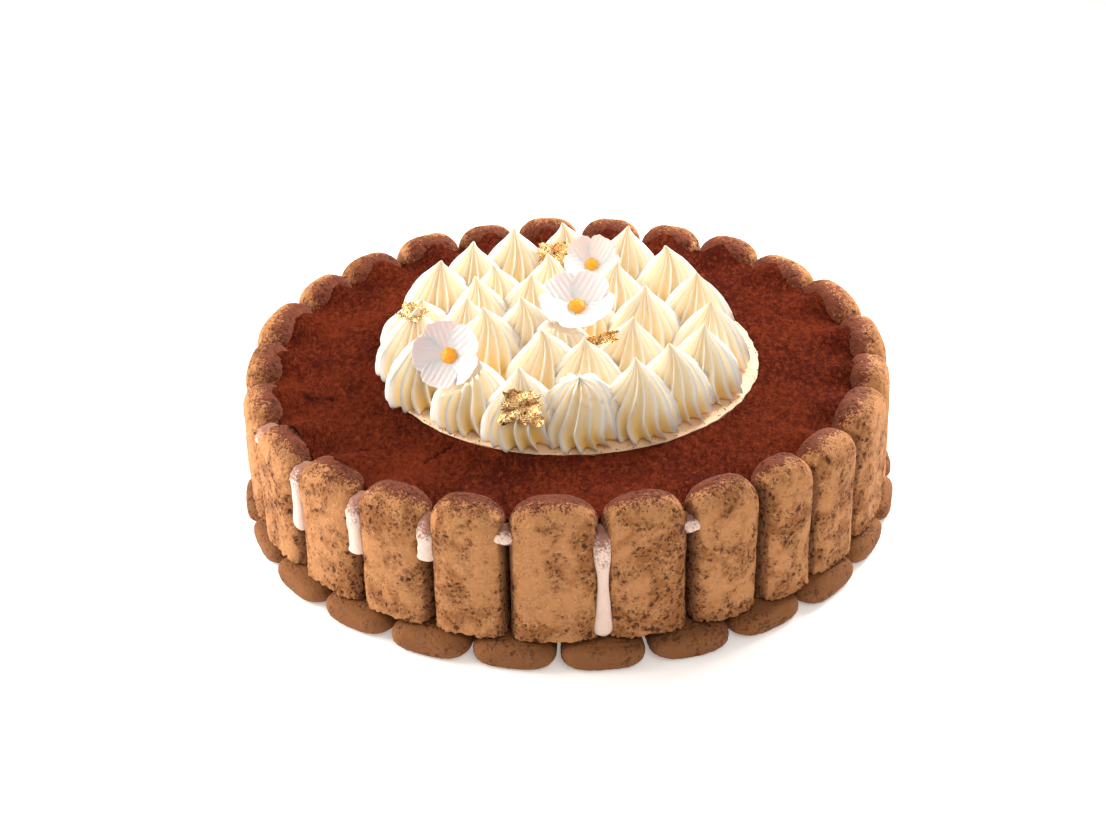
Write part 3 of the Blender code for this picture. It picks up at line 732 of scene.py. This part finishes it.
def piping_tree():
    """Sets a kiss on each point, turned and stretched by the point's own values."""
    graph, given = new_tree("piping", Kiss="Object", Material="Material")
    turn, wide, tall = (graph.attribute(name) for name in ("turn", "wide", "tall"))
    return copies_tree(graph, given, "Kiss", graph.combined(z=turn), graph.combined(wide, wide, tall))


def speck_tree():
    """Sets a small grain on each point, each one turned and sized by chance."""
    graph, given = new_tree("specks", Grain="Object", Smallest=0.4, Largest=1.6, Seed=3, Material="Material")
    limits = {0: (0.0, 0.0, 0.0), 1: (6.28, 6.28, 6.28), "Seed": given["Seed"]}
    turn = graph.add("FunctionNodeRandomValue", {"data_type": "FLOAT_VECTOR"}, limits)
    limits = {2: given["Smallest"], 3: given["Largest"], "Seed": given["Seed"]}
    size = graph.add("FunctionNodeRandomValue", {"data_type": "FLOAT"}, limits, out=1)
    return copies_tree(graph, given, "Grain", turn, size)


def finger_skin(number, height, radius, lean):
    """An upright half biscuit, with the share of cocoa that lies on each point of its tip."""
    sizes = bpy.context.scene.cake_sizes
    half_width = sizes.ring_radius * WIDTHS[number] / 2 - FINGER_SIDE_GAP
    shoulder = height - sizes.dome_height
    foot = sizes.base_thickness + GAP
    angle = ANGLES[number]
    place_at = (
        Matrix.Translation((radius * math.cos(angle), radius * math.sin(angle), foot))
        @ Matrix.Rotation(angle - math.pi / 2, 4, "Z")
        @ Matrix.Rotation(lean, 4, "X")
    )
    # More cocoa colour towards the shaded bearing and less at the back: painted shade and painted light over the real
    # dusting
    bearing = angle - math.radians(SHADED_TIPS_BEARING_DEG)
    tip_light_and_shade = 0.16 * max(0.0, math.cos(bearing)) ** 2 - 0.12 * max(0.0, math.sin(angle))

    def place(v, turn):
        climb = np.sin(unit((v - TIP_START) / TIP_ROWS) * math.pi / 2)
        size = unit(v / FOOT_ROWS) * (1 - np.minimum(climb**2, 1.0)) ** TIP_BLUNTNESS
        wall = unit((v - FOOT_ROWS) / WALL_ROWS)
        z = np.where(v > TIP_START, shoulder + sizes.dome_height * climb, shoulder * wall)
        rim = np.exp(-(((v - FOOT_ROWS) / 0.035) ** 2))
        z = z + 1.3 * MM * rim * np.abs(ripple(turn, number + 300, 7, 5)) + 0.3 * MM * (v < 0.06)
        waist = 1 - 0.025 * np.sin(wall * math.pi) + 0.018 * ripple(wall * 2.2 + number, number)
        waist = np.minimum(waist, 1.0) * (1 + 0.012 * ripple(turn, number + 500, 4, 3))
        outer = np.sin(turn) > 0
        square = np.where(outer, 2 / FRONT_SQUARENESS, 2 / FINGER_SQUARENESS)
        depth = np.where(outer, sizes.depth_out, sizes.depth_in)
        x = half_width * size * np.minimum(waist, 1.0) * signed_power(np.cos(turn), square)
        y = depth * size * signed_power(np.sin(turn), square)
        top = smooth_step((z + foot - (sizes.cream_level - 6 * MM)) / (7 * MM))
        inward = unit(0.5 - (y + 1.3 * MM) / (10.0 * MM))
        # The crest may take more cocoa colour on the front tips: painted shade
        crest = np.clip((z - height + 5.5 * MM) / (11 * MM), 0.0, 0.3 + 0.14 * max(0.0, -math.sin(angle)))
        # side: how near a point lies to a narrow side of the upright, where the crust material paints shade
        side = smooth_step((np.abs(x / half_width) - 0.8) / 0.18)
        dust = np.clip(inward + crest + tip_light_and_shade * top, 0, 1.3) * top
        return transformed(xyz(x, y, z), place_at), {"dust": dust, "side": side}

    return skin(f"finger_{number + 1:02d}", 112, 132, place)


def base_skin(number, length_now):
    """A flat biscuit that points outwards, with a blunt nose and a flat underside."""
    sizes = bpy.context.scene.cake_sizes
    pitch = TURN / FINGER_COUNT
    middle = sizes.base_thickness * 0.46
    half = sizes.base_thickness - middle
    bearing = math.radians(BASE_FIRST_DEG) + pitch * number - math.pi / 2

    def place(v, turn):
        reach = np.sin(unit((v - 0.6) / 0.4) * math.pi / 2)
        size = unit(v / 0.08) * (1 - np.minimum(reach**2, 1.0)) ** NOSE_BLUNTNESS
        along = (length_now - BASE_NOSE) * unit((v - 0.08) / 0.52) + BASE_NOSE * reach
        flank = np.minimum(along, length_now - BASE_NOSE)
        wedge = (BASE_INNER_RADIUS + flank) * math.tan(pitch / 2) - BASE_SIDE_GAP
        x = wedge * size * signed_power(np.cos(turn), 0.8)
        z = np.maximum(middle + half * size * signed_power(np.sin(turn), 0.8), 0.0)
        return swung(x, BASE_INNER_RADIUS + along, z, bearing), {"plain": 1.0}

    return skin(f"base_{number + 1:02d}", 60, 72, place)


def bake(made, name, node, pit_depth, torn_height):
    """Gives biscuits, each one a mesh and a seed, their crust, and sets them in the place of their solids."""
    material = finish("biscuit_crust")
    tree = bpy.data.node_groups.get("crust") or crust_tree()
    pieces = []
    for number, (mesh, seed) in enumerate(made, 1):
        piece = show(mesh, f"{name}_{number:02d}", material)
        use_tree(piece, tree, Pit_Depth=pit_depth, Torn_Height=torn_height, Seed=seed, Material=material)
        pieces.append(piece)
    apply_trees(pieces)
    for number, piece in enumerate(pieces, 1):
        settle(piece, [f"{node}_{number:02d}"])


class CAKE_OT_ladyfingers(bpy.types.Operator):
    """Stands the porous half biscuits round the cake"""

    bl_idname = "cake.ladyfingers"
    bl_label = "Ladyfingers"

    def execute(self, context):
        sizes = context.scene.cake_sizes
        draw = random.Random(SEED + 1)
        foot = sizes.base_thickness + GAP
        made = []
        for number, (_, taller) in enumerate(FINGERS):
            height = sizes.tip_height - foot + taller * MM
            radius = sizes.ring_radius + RADIAL_UNEVEN * draw.uniform(-1, 1)
            lean = math.radians(LEAN_DEG * draw.uniform(-1, 1))
            made.append((finger_skin(number, height, radius, lean), number * 1.7))
        bake(made, "finger", "ladyfinger", sizes.pit_depth, foot + 5 * MM)
        return {"FINISHED"}


class CAKE_OT_base_biscuits(bpy.types.Operator):
    """Lays the flat biscuits under the ring"""

    bl_idname = "cake.base_biscuits"
    bl_label = "Base biscuits"

    def execute(self, context):
        sizes = context.scene.cake_sizes
        draw = random.Random(SEED + 2)
        made = []
        for number in range(FINGER_COUNT):
            bearing = math.radians(BASE_FIRST_DEG - BASE_FURTHER_DEG) + TURN * number / FINGER_COUNT
            outer = sizes.base_radius + BASE_FURTHER_BY * math.cos(bearing)
            full = (outer - BASE_INNER_RADIUS) * (1 + 0.012 * draw.uniform(-1, 1))
            made.append((base_skin(number, full), 60 + number * 1.3))
        bake(made, "base", "base_biscuit", 0.35 * sizes.pit_depth, 0.0)
        return {"FINISHED"}


def crack_depth(x, y):
    """How far the cracks and the dent sink into the cocoa at each point."""
    total = np.zeros_like(x)
    for x1, y1, x2, y2, half_width, depth in CRACKS:
        start, run = np.array([x1, y1]) * MM, np.array([x2 - x1, y2 - y1]) * MM
        along = np.clip(((x - start[0]) * run[0] + (y - start[1]) * run[1]) / (run @ run), 0, 1)
        ragged = 0.5 * MM * np.sin(along * 19 + x1) + 0.3 * MM * np.sin(along * 47)
        side = np.array([-run[1], run[0]]) / np.linalg.norm(run)
        off_x = x - start[0] - along * run[0] - side[0] * ragged
        off_y = y - start[1] - along * run[1] - side[1] * ragged
        away = np.hypot(off_x, off_y) / (half_width * MM)
        total = np.maximum(total, depth * MM * np.exp(-(away**2)))
    return total


class CAKE_OT_cocoa(bpy.types.Operator):
    """Dusts the filling with settled cocoa"""

    bl_idname = "cake.cocoa"
    bl_label = "Cocoa"

    def execute(self, context):
        sizes = context.scene.cake_sizes
        rows, under = 78, 5
        inner = sizes.patch_radius - 0.1 * MM

        def place(v, turn):
            row = np.round(v * (rows + under)).astype(int)
            upper = row < rows
            out = np.where(upper, row / (rows - 1), 1 - (row - rows) / (under - 1))
            ragged = inner + 0.5 * MM * ripple(turn, 11, 9, 7) + 0.4 * MM * ripple(turn, 12, 8, 31)
            start_x = PATCH_CENTRE.x + ragged * np.cos(turn)
            start_y = PATCH_CENTRE.y + ragged * np.sin(turn)
            rim = edge_radius(turn, 115.4 * MM, 0.5)
            x = start_x + (rim * np.cos(turn) - start_x) * out
            y = start_y + (rim * np.sin(turn) - start_y) * out
            z = surface_height(np.hypot(x, y), np.arctan2(y, x))
            sunk = crack_depth(x, y)
            z = np.where(upper, z - sunk, z - COCOA_THICKNESS)
            z = z - np.where(upper, 0.5 * MM * (1 - smooth_step(out * 45)), 0.0)
            lifts = np.where(upper, smooth_step(out * 40) * 0.8 + 0.2, 0.0)
            # The last value is how deep a point lies in a crack, for the painted shade there
            return xyz(x, y, z), {"upper": lifts, "crack": np.where(upper, unit(sunk / (0.8 * MM)), 0.0)}

        material = finish("cocoa_powder")
        cocoa = show(skin("cocoa", rows + under, 1100, place, closed_rows=True), "cocoa", material)
        use_tree(cocoa, felt_tree(), Relief=sizes.cocoa_relief, Material=material)
        apply_trees([cocoa])
        settle(cocoa, ["cocoa_dusting"])
        return {"FINISHED"}


def drip_skin(number, drop):
    """One drip: out through the notch between two tips and down the groove to a round end."""
    sizes = bpy.context.scene.cake_sizes
    level = sizes.cream_level
    low = level - drop
    bend = level - min(6.0 * MM, 0.7 * drop)
    bulb = low + min(2.0 * MM, 0.25 * drop)
    path = np.array(
        (
            (110.5 * MM, level - 7.0 * MM, 0.3),
            (114.8 * MM, level - 5.6 * MM, 0.6),
            (118.5 * MM, level - 2.8 * MM, 0.85),
            (121.8 * MM, level - 3.2 * MM, 0.95),
            (DRIP_OUT_RADIUS, bend, 0.9),
            (DRIP_OUT_RADIUS, (bend + bulb) / 2, 0.75),
            (DRIP_OUT_RADIUS, bulb, 1.0),
            (DRIP_OUT_RADIUS, low - 0.4 * MM, 0.7),
        )
    )
    angle = ANGLES[number] + WIDTHS[number] / 2
    out = np.array([math.cos(angle), math.sin(angle), 0.0])
    side = np.array([-out[1], out[0], 0.0])
    marks = np.linspace(0, 1, len(path))
    long = drop > 35 * MM
    slim, swollen = (0.26, 0.2) if long else (0.0, 0.0)
    end_share = 0.1 if drop > 12 * MM else 0.32

    def place(v, turn):
        radius, z, size = (np.interp(v, marks, path[:, axis]) for axis in range(3))
        before, after = np.maximum(v - 0.06, 0), np.minimum(v + 0.06, 1)
        ahead, fall = (np.interp(after, marks, line) - np.interp(before, marks, line) for line in path.T[:2])
        reach = np.hypot(ahead, fall) + 1e-9
        left = unit((z - path[-1, 1]) / (7.5 * MM))
        end = np.sqrt(1 - (1 - left) ** 2) if long else np.sqrt(unit((1 - v) / end_share))
        neck = 1 - slim * np.exp(-(((v - 0.72) / 0.09) ** 2)) + swollen * np.exp(-(((v - 0.87) / 0.05) ** 2))
        across = DRIP_HALF_WIDTH * size * np.sqrt(unit(v / 0.06)) * end * neck
        across = across * (1 + 0.14 * ripple(v * 5.0 + number, number + 40))
        across = across * (1 + 0.05 * ripple(turn + v * 9.0, number + 90, 6, 3))
        sway = 0.5 * MM * ripple(v * 3.0, number + 70) * smooth_step((v - 0.4) * 3)
        sideways = across * signed_power(np.cos(turn), 0.8) + sway
        proud = 0.8 * across * signed_power(np.sin(turn), 0.8)
        points = out[None, :] * (radius - fall / reach * proud)[:, None] + side[None, :] * sideways[:, None]
        points[:, 2] += z + ahead / reach * proud
        return points, {"bare": 0.0, "dust": 0.9 * (1 - smooth_step((v - 0.36) / 0.44))}

    return skin(f"drip_{number}", 90, 44, place)


class CAKE_OT_mascarpone(bpy.types.Operator):
    """Fills the ring with mascarpone, with its bare patch on top and its drips outside"""

    bl_idname = "cake.mascarpone"
    bl_label = "Mascarpone"

    def execute(self, context):
        sizes = context.scene.cake_sizes
        level, patch = sizes.cream_level, sizes.patch_radius
        hub = BASE_INNER_RADIUS - GAP
        foot = sizes.base_thickness + GAP
        shelf = 108.4 * MM

        def core(v, turn):
            row = np.round(v * 23).astype(int)
            rim = edge_radius(turn, 116.3 * MM)
            flat = np.full_like(turn, 1.0)
            start = patch + 0.3 * MM
            # Radius and height of each row. None stands for the top, just under the cocoa.
            stations = [
                *((0.0 * flat, 0.0), (0.5 * hub * flat, 0.0), (hub * flat, 0.0), (hub * flat, foot)),
                *((shelf * flat, foot), (shelf * flat, level - 7.2 * MM), (rim, level - 7.0 * MM), (rim, None)),
                *((start + (rim - start) * share, None) for share in (0.8, 0.6, 0.4, 0.3, 0.2, 0.1, 0.04, 0.0)),
                *((patch * share * flat, level - 0.9 * MM) for share in (1.0, 0.9, 0.75, 0.6, 0.4, 0.2, 0.1, 0.0)),
            ]
            radius = np.choose(row, [station[0] for station in stations])
            centre = np.where(row >= 15, 1.0, 0.0)
            x = PATCH_CENTRE.x * centre + radius * np.cos(turn)
            y = PATCH_CENTRE.y * centre + radius * np.sin(turn)
            away = np.hypot(x, y)
            dip = smooth_step((away - 95 * MM) / (9 * MM)) * (1 - smooth_step((away - 112 * MM) / (4 * MM)))
            top = surface_height(away, np.arctan2(y, x)) - COCOA_THICKNESS - 1.2 * GAP - 1.6 * MM * dip
            z = np.choose(row, [top if station[1] is None else station[1] * flat for station in stations])
            return xyz(x, y, z), {"bare": 0.0, "dust": 0.55}

        def bare_patch(v, turn):
            ragged = patch + 0.5 * MM * ripple(turn, 21, 8, 9) + 0.4 * MM * ripple(turn, 22, 9, 41)
            top = v < 0.9
            out = unit(np.where(top, v / 0.88, (1 - v) / 0.1))
            x = PATCH_CENTRE.x + ragged * out * np.cos(turn)
            y = PATCH_CENTRE.y + ragged * out * np.sin(turn)
            grain = 0.10 * MM * np.sin(x * 2100 + 3 * np.sin(y * 900)) * np.sin(y * 1900 + 2 * np.sin(x * 1300))
            rim_drop = 0.5 * MM * smooth_step((out - 0.985) / 0.015)
            z = np.where(top, level + PATCH_RAISE + grain - rim_drop, level - 1.1 * MM)
            return xyz(x, y, z), {"bare": 1.0}

        parts = [skin("core", 24, 300, core), skin("patch", 72, 420, bare_patch)]
        parts += [drip_skin(number, drop) for number, drop in DRIP_LENGTHS.items()]
        filling = show(joined(parts, "mascarpone"), "mascarpone", finish("mascarpone"))
        settle(filling, ["mascarpone_filling"])
        return {"FINISHED"}


def kiss_skin(name, rows, ridges, splay, blunt=False):
    """A kiss of unit height and unit belly from a star nozzle, with a value for how deep in a groove a point lies."""
    outline = BLUNT_OUTLINE_RADIUS if blunt else KISS_OUTLINE_RADIUS

    def place(v, turn):
        height = rise = unit((v - 0.05) / 0.95)
        radius = np.interp(rise, KISS_OUTLINE_HEIGHT, outline) * unit(v / 0.05)
        wave = 1 - np.abs(np.sin(ridges * turn / 2)) ** 0.62
        spread = 1 + 0.3 * splay * unit(1 - rise / 0.2)
        fold = RIDGE_DEPTH * (3.1 * wave - 1.3) * (1 + 0.3 * ripple(turn, 5, 4, 1)) * (0.95 + 0.75 * rise) * spread
        swirl = 0.45 * rise + 0.36 * splay * unit(1 - rise / 0.38) ** 1.6
        turned = turn + (swirl + 0.07 * np.sin(rise * 7) * ripple(turn, 9, 4, 1))
        bend = 0.12 * unit((rise - 0.6) / 0.4) ** 3
        if blunt:
            bend = 0.0
            peaks = 0.5 * (1 + ripple(turn, 31, 7, 3))
            rough = smooth_step((rise - 0.55) / 0.35)
            height = rise * 0.85 + (0.13 * wave * peaks + 0.05 * peaks - 0.02) * rough
            height = height - 0.02 * smooth_step((rise - 0.9) / 0.1)
            radius = radius * (1 + 0.1 * ripple(turn + rise * 5, 33, 6, 2) * rough)
        x = radius * (1 + fold) * np.cos(turned) + bend
        y = radius * (1 + fold) * np.sin(turned) - 0.5 * bend
        # groove and low drive the painted shade and highlight of the kiss material
        return xyz(x, y, height), {"groove": (1 - wave) * unit(v / 0.05), "low": 1 - smooth_step(rise / 0.6)}

    return skin(name, rows, 9 * ridges, place)


def kiss_foot():
    return bpy.context.scene.cake_sizes.cream_level + PATCH_RAISE + GAP


def kiss_places(kisses, seed):
    """The place, belly, height and turn of each kiss of one group."""
    draw = random.Random(seed)
    return [
        (Vector((x * MM, y * MM, kiss_foot())), belly * MM, height * MM, draw.uniform(0, TURN))
        for x, y, belly, height in kisses
    ]


def leaning(centre, lean_deg, bearing_deg, spin_deg=0.0):
    """A matrix that sets a level piece at a centre, leaning towards a bearing."""
    bearing = math.radians(bearing_deg)
    axis = Vector((-math.sin(bearing), math.cos(bearing), 0.0))
    lean = Matrix.Rotation(math.radians(lean_deg), 4, axis)
    return Matrix.Translation(centre) @ lean @ Matrix.Rotation(math.radians(spin_deg), 4, "Z")


def pressed_by_flowers(points):
    """Cream under a flower is pushed down to just under its petals."""
    flower = bpy.context.scene.cake_sizes.flower_radius
    low = -PETAL_THICKNESS / 2 - 3 * GAP
    for _, centre, lean_deg, bearing_deg, spin_deg, size in FLOWERS:
        place = leaning(centre, lean_deg, bearing_deg, spin_deg) @ Matrix.Scale(size, 4)
        local = transformed(points, place.inverted())
        away = np.hypot(local[:, 0], local[:, 1])
        ceiling = low + unit((away / flower - 0.68) / 0.5) * 5.5 * MM
        inside = (away < flower * 1.1) & (local[:, 2] > ceiling) & (local[:, 2] < 16 * MM)
        local[inside, 2] = ceiling[inside]
        points = np.where(inside[:, None], transformed(local, place), points)
    return points


class CAKE_OT_kisses(bpy.types.Operator):
    """Pipes the crown of kisses"""

    bl_idname = "cake.kisses"
    bl_label = "Piped kisses"

    def execute(self, context):
        ridges = context.scene.cake_sizes.ridge_count
        material = finish("whipped_cream")
        tree = piping_tree()
        outer, inner = kiss_places(OUTER_KISSES, SEED + 3), kiss_places(INNER_KISSES, SEED + 4)
        made, patterns = [], []
        for name, spots, splay in (("outer_kisses", outer[1:], 1.0), ("inner_kisses", inner, 0.45)):
            patterns.append(show(kiss_skin(name + "_pattern", 42, ridges, splay), name + "_pattern"))
            places, wide, tall, turn = zip(*spots)
            mesh = bpy.data.meshes.new(name)
            mesh.from_pydata([tuple(place) for place in places], [], [])
            keep_values(mesh, wide=wide, tall=tall, turn=turn)
            made.append(show(mesh, name))
            use_tree(made[-1], tree, Kiss=patterns[-1], Material=material)
        apply_trees(made)
        blunt = kiss_skin("blunt_kiss", 48, ridges, 1.0, blunt=True)
        spot, belly, tall, turn = outer[0]
        grow = Matrix.Diagonal((belly, belly, tall, 1.0))
        blunt.transform(Matrix.Translation(spot) @ Matrix.Rotation(turn, 4, "Z") @ grow)

        def bed(v, turn):
            out = np.minimum(unit(v / 0.75), unit((1 - v) / 0.1))
            x = BED_CENTRE.x + BED_RADII[0] * out * np.cos(turn)
            y = BED_CENTRE.y + BED_RADII[1] * out * np.sin(turn)
            z = kiss_foot() + np.where(v < 0.82, BED_THICKNESS * unit((0.82 - v) / 0.07), 0.0)
            # The bed between the kisses takes the full painted shade of the grooves
            return xyz(x, y, z), {"groove": 1.0, "low": 1.0}

        made[1].data = joined([made[1].data, blunt, skin("bed", 40, 96, bed)], "inner_kisses")
        for ring in made:
            ring.data.materials.clear()
            ring.data.materials.append(material)
            ring.data.polygons.foreach_set("material_index", [0] * len(ring.data.polygons))
            move_points(ring.data, pressed_by_flowers(points_of(ring.data)))
            ring.data.shade_smooth()
            settle(ring, ["piped_cream"])
        for kiss in patterns:
            bpy.data.objects.remove(kiss, do_unlink=True)
        return {"FINISHED"}


def leaf_mesh(centre, width, height, bearing_deg, back_deg, seed):
    """A crumpled flake with torn edges and sharp creases."""
    draw = random.Random(seed)
    folds = [(draw.uniform(0, 3.14), draw.uniform(3, 8), draw.uniform(0, 6.28), draw.uniform(0.3, 1)) for _ in range(6)]
    bm = bmesh.new()
    bmesh.ops.create_grid(bm, x_segments=44, y_segments=36, size=0.5)
    for vert in bm.verts:
        x, y = vert.co.x, vert.co.y
        angle = math.atan2(y, x)
        torn = 0.9 + 0.09 * math.sin(3 * angle + seed) + 0.07 * math.sin(7 * angle + 2 * seed)
        torn += 0.05 * math.sin(15 * angle + seed) + 0.04 * math.sin(27 * angle)
        edge = max(abs(x), abs(y)) * 2
        pull = 1 + (torn - 1) * edge**3
        lift = 0.0
        for bearing, scale, phase, share in folds:
            lift += share * (abs(math.sin(scale * (x * math.cos(bearing) + y * math.sin(bearing)) + phase)) - 0.5)
        curl = 1.2 * edge**3 * math.sin(2 * angle + seed)
        vert.co = (x * width * pull, y * height * pull, (lift + curl) * MM)
    bmesh.ops.solidify(bm, geom=bm.faces[:], thickness=0.12 * MM)
    bmesh.ops.recalc_face_normals(bm, faces=bm.faces)
    mesh = mesh_of(bm, "leaf")
    mesh.transform(leaning(centre, 90.0 - back_deg, bearing_deg, bearing_deg + 90.0))
    return mesh


class CAKE_OT_gold_leaf(bpy.types.Operator):
    """Lays crumpled gold leaf on the kisses"""

    bl_idname = "cake.gold_leaf"
    bl_label = "Gold leaf"

    def execute(self, context):
        flakes = [leaf_mesh(*leaf, seed) for seed, leaf in enumerate(GOLD_LEAVES, 3)]
        leaf = show(joined(flakes, "gold_leaf"), "gold_leaf", finish("gold_leaf"))
        leaf.data.set_sharp_from_angle(angle=math.radians(35))
        settle(leaf, [])
        return {"FINISHED"}


def petal_skin(flower, petal, number):
    """A cupped, ribbed petal with a soft scalloped end."""
    start = TURN * petal / PETAL_COUNT

    def place(v, turn):
        out, over = np.sin(v * math.pi), np.cos(v * math.pi)
        notch = 1 - 0.05 * np.exp(-((turn % TURN - 0.1) ** 2) / 0.03) * (turn < 3)
        end = (1 + 0.03 * np.cos(turn)) * (1 + 0.025 * np.cos(13 * turn) * (np.cos(turn) > 0)) * notch
        x = flower * 0.53 + flower * 0.45 * out * signed_power(np.cos(turn), 0.85) * end
        y = flower * 0.5 * out * signed_power(np.sin(turn), 0.8) * (1 + 0.16 * np.cos(turn))
        ribs = 0.32 * MM * np.abs(np.cos(y / flower * 20)) * smooth_step((x / flower - 0.1) * 2)
        thick = PETAL_THICKNESS * 0.5 * -over * (1 - 0.3 * out)
        cup = PETAL_CUP * x * x / flower + 0.35 * y * y / flower + 0.13 * MM * (2 * petal % PETAL_COUNT)
        flutter = 0.45 * MM * np.sin(2 * turn + petal * 2.1 + number) * out**3
        z = thick + cup + flutter + np.where(over < 0, ribs, 0.0)
        return swung(x, y, z, start), {"button": 0.0}

    return skin("petal", 36, 72, place)


def button_skin(flower):
    """The orange middle of a flower."""

    def place(v, turn):
        out, over = np.sin(v * math.pi), -np.cos(v * math.pi)
        radius = flower * 0.23 * (1 + 0.05 * np.cos(6 * turn) * out + 0.04 * np.cos(9 * v * math.pi) * out)
        z = 1.1 * MM + radius * 0.62 * over
        return xyz(radius * out * np.cos(turn), radius * out * np.sin(turn), z), {"button": 1.0}

    return skin("button", 24, 48, place)


class CAKE_OT_flowers(bpy.types.Operator):
    """Sets the sugar flowers on the cream"""

    bl_idname = "cake.flowers"
    bl_label = "Sugar flowers"

    def execute(self, context):
        flower = context.scene.cake_sizes.flower_radius
        for number, (name, centre, lean_deg, bearing_deg, spin_deg, size) in enumerate(FLOWERS):
            petals = [petal_skin(flower, petal, number) for petal in range(PETAL_COUNT)]
            mesh = joined([*petals, button_skin(flower)], name + "_sugar")
            mesh.transform(leaning(centre, lean_deg, bearing_deg, spin_deg) @ Matrix.Scale(size, 4))
            settle(show(mesh, name + "_sugar", finish("sugar_paste")), [name])
        return {"FINISHED"}


class CAKE_OT_specks(bpy.types.Operator):
    """Scatters grains of cocoa on the bare patch and its edge"""

    bl_idname = "cake.specks"
    bl_label = "Cocoa specks"

    def execute(self, context):
        sizes = context.scene.cake_sizes
        draw = random.Random(SEED + 9)
        spots = []
        for _ in range(SPECK_COUNT):
            angle = draw.uniform(0, TURN)
            away = sizes.patch_radius - abs(draw.gauss(0, 1.6 * MM))
            x = PATCH_CENTRE.x + away * math.cos(angle)
            y = PATCH_CENTRE.y + away * math.sin(angle)
            spots.append((x, y, sizes.cream_level + 0.3 * MM))
        mesh = bpy.data.meshes.new("cocoa_specks")
        mesh.from_pydata(spots, [], [])
        specks = show(mesh, "cocoa_specks")
        bm = bmesh.new()
        bmesh.ops.create_icosphere(bm, subdivisions=1, radius=0.16 * MM)
        grain = show(mesh_of(bm, "grain"), "grain")
        material = finish("cocoa_powder")
        use_tree(specks, speck_tree(), Grain=grain, Smallest=0.4, Largest=1.7, Seed=5, Material=material)
        apply_trees([specks])
        bpy.data.objects.remove(grain, do_unlink=True)
        settle(specks, [])
        return {"FINISHED"}


class CAKE_OT_stage(bpy.types.Operator):
    """Makes the floor, the soft lights and the camera"""

    bl_idname = "cake.stage"
    bl_label = "Stage"

    def execute(self, context):
        scene = context.scene
        bm = bmesh.new()
        bmesh.ops.create_grid(bm, x_segments=1, y_segments=1, size=4.0)
        floor = show(mesh_of(bm, "floor"), "floor", finish("pale_floor"))
        for name, place, size, power, tint in LIGHTS:
            light = bpy.data.lights.new(name, "AREA")
            light.size, light.energy, light.color = size, power, tint
            lamp = bpy.data.objects.new(name, light)
            lamp.location = place
            lamp.rotation_euler = (LIGHTS_AIM - Vector(place)).to_track_quat("-Z", "Y").to_euler()
            scene.collection.objects.link(lamp)
        world = bpy.data.worlds.new("studio")
        world.use_nodes = True
        sky = world.node_tree.nodes["Background"].inputs
        sky["Color"].default_value, sky["Strength"].default_value = (1.0, 1.0, 1.0, 1.0), WORLD_STRENGTH
        scene.world = world
        scene.view_settings.view_transform = "Standard"
        lens = bpy.data.cameras.new("camera")
        lens.lens, lens.sensor_width = CAMERA_LENS, 36.0
        lens.clip_start, lens.clip_end = 0.01, 20.0
        camera = bpy.data.objects.new("camera", lens)
        tilt, roll = math.radians(CAMERA_TILT_DEG), math.radians(CAMERA_ROLL_DEG)
        turned = Matrix.Rotation(tilt, 4, "X") @ Matrix.Rotation(roll, 4, "Z")
        camera.matrix_world = Matrix.Translation(CAMERA_PLACE) @ turned
        scene.collection.objects.link(camera)
        scene.camera = camera
        return {"FINISHED"}


OPERATORS = (
    CAKE_OT_ladyfingers,
    CAKE_OT_base_biscuits,
    CAKE_OT_cocoa,
    CAKE_OT_mascarpone,
    CAKE_OT_kisses,
    CAKE_OT_gold_leaf,
    CAKE_OT_flowers,
    CAKE_OT_specks,
    CAKE_OT_stage,
)


class CAKE_PT_panel(bpy.types.Panel):
    """Lists the pieces of the cake with their sizes and colours"""

    bl_idname = "CAKE_PT_panel"
    bl_label = "Tiramisu"
    bl_space_type = "VIEW_3D"
    bl_region_type = "UI"
    bl_category = "Tiramisu"

    def draw(self, context):
        for operator in OPERATORS:
            self.layout.operator(operator.bl_idname)
        for group in (context.scene.cake_sizes, context.scene.cake_colours):
            for name in group.__annotations__:
                self.layout.prop(group, name)


CLASSES = (CakeSizes, CakeColours, *OPERATORS, CAKE_PT_panel)


def register():
    for entry in CLASSES:
        bpy.utils.register_class(entry)
    bpy.types.Scene.cake_sizes = bpy.props.PointerProperty(type=CakeSizes)
    bpy.types.Scene.cake_colours = bpy.props.PointerProperty(type=CakeColours)


def unregister():
    del bpy.types.Scene.cake_colours
    del bpy.types.Scene.cake_sizes
    for entry in reversed(CLASSES):
        bpy.utils.unregister_class(entry)


def main():
    for name in ("Cube", "Light", "Camera"):
        if name in bpy.data.objects:
            bpy.data.objects.remove(bpy.data.objects[name], do_unlink=True)
    register()
    bpy.ops.cake.ladyfingers()
    bpy.ops.cake.base_biscuits()
    bpy.ops.cake.cocoa()
    bpy.ops.cake.mascarpone()
    bpy.ops.cake.kisses()
    bpy.ops.cake.gold_leaf()
    bpy.ops.cake.flowers()
    bpy.ops.cake.specks()
    bpy.ops.cake.stage()


if __name__ == "__main__":
    main()
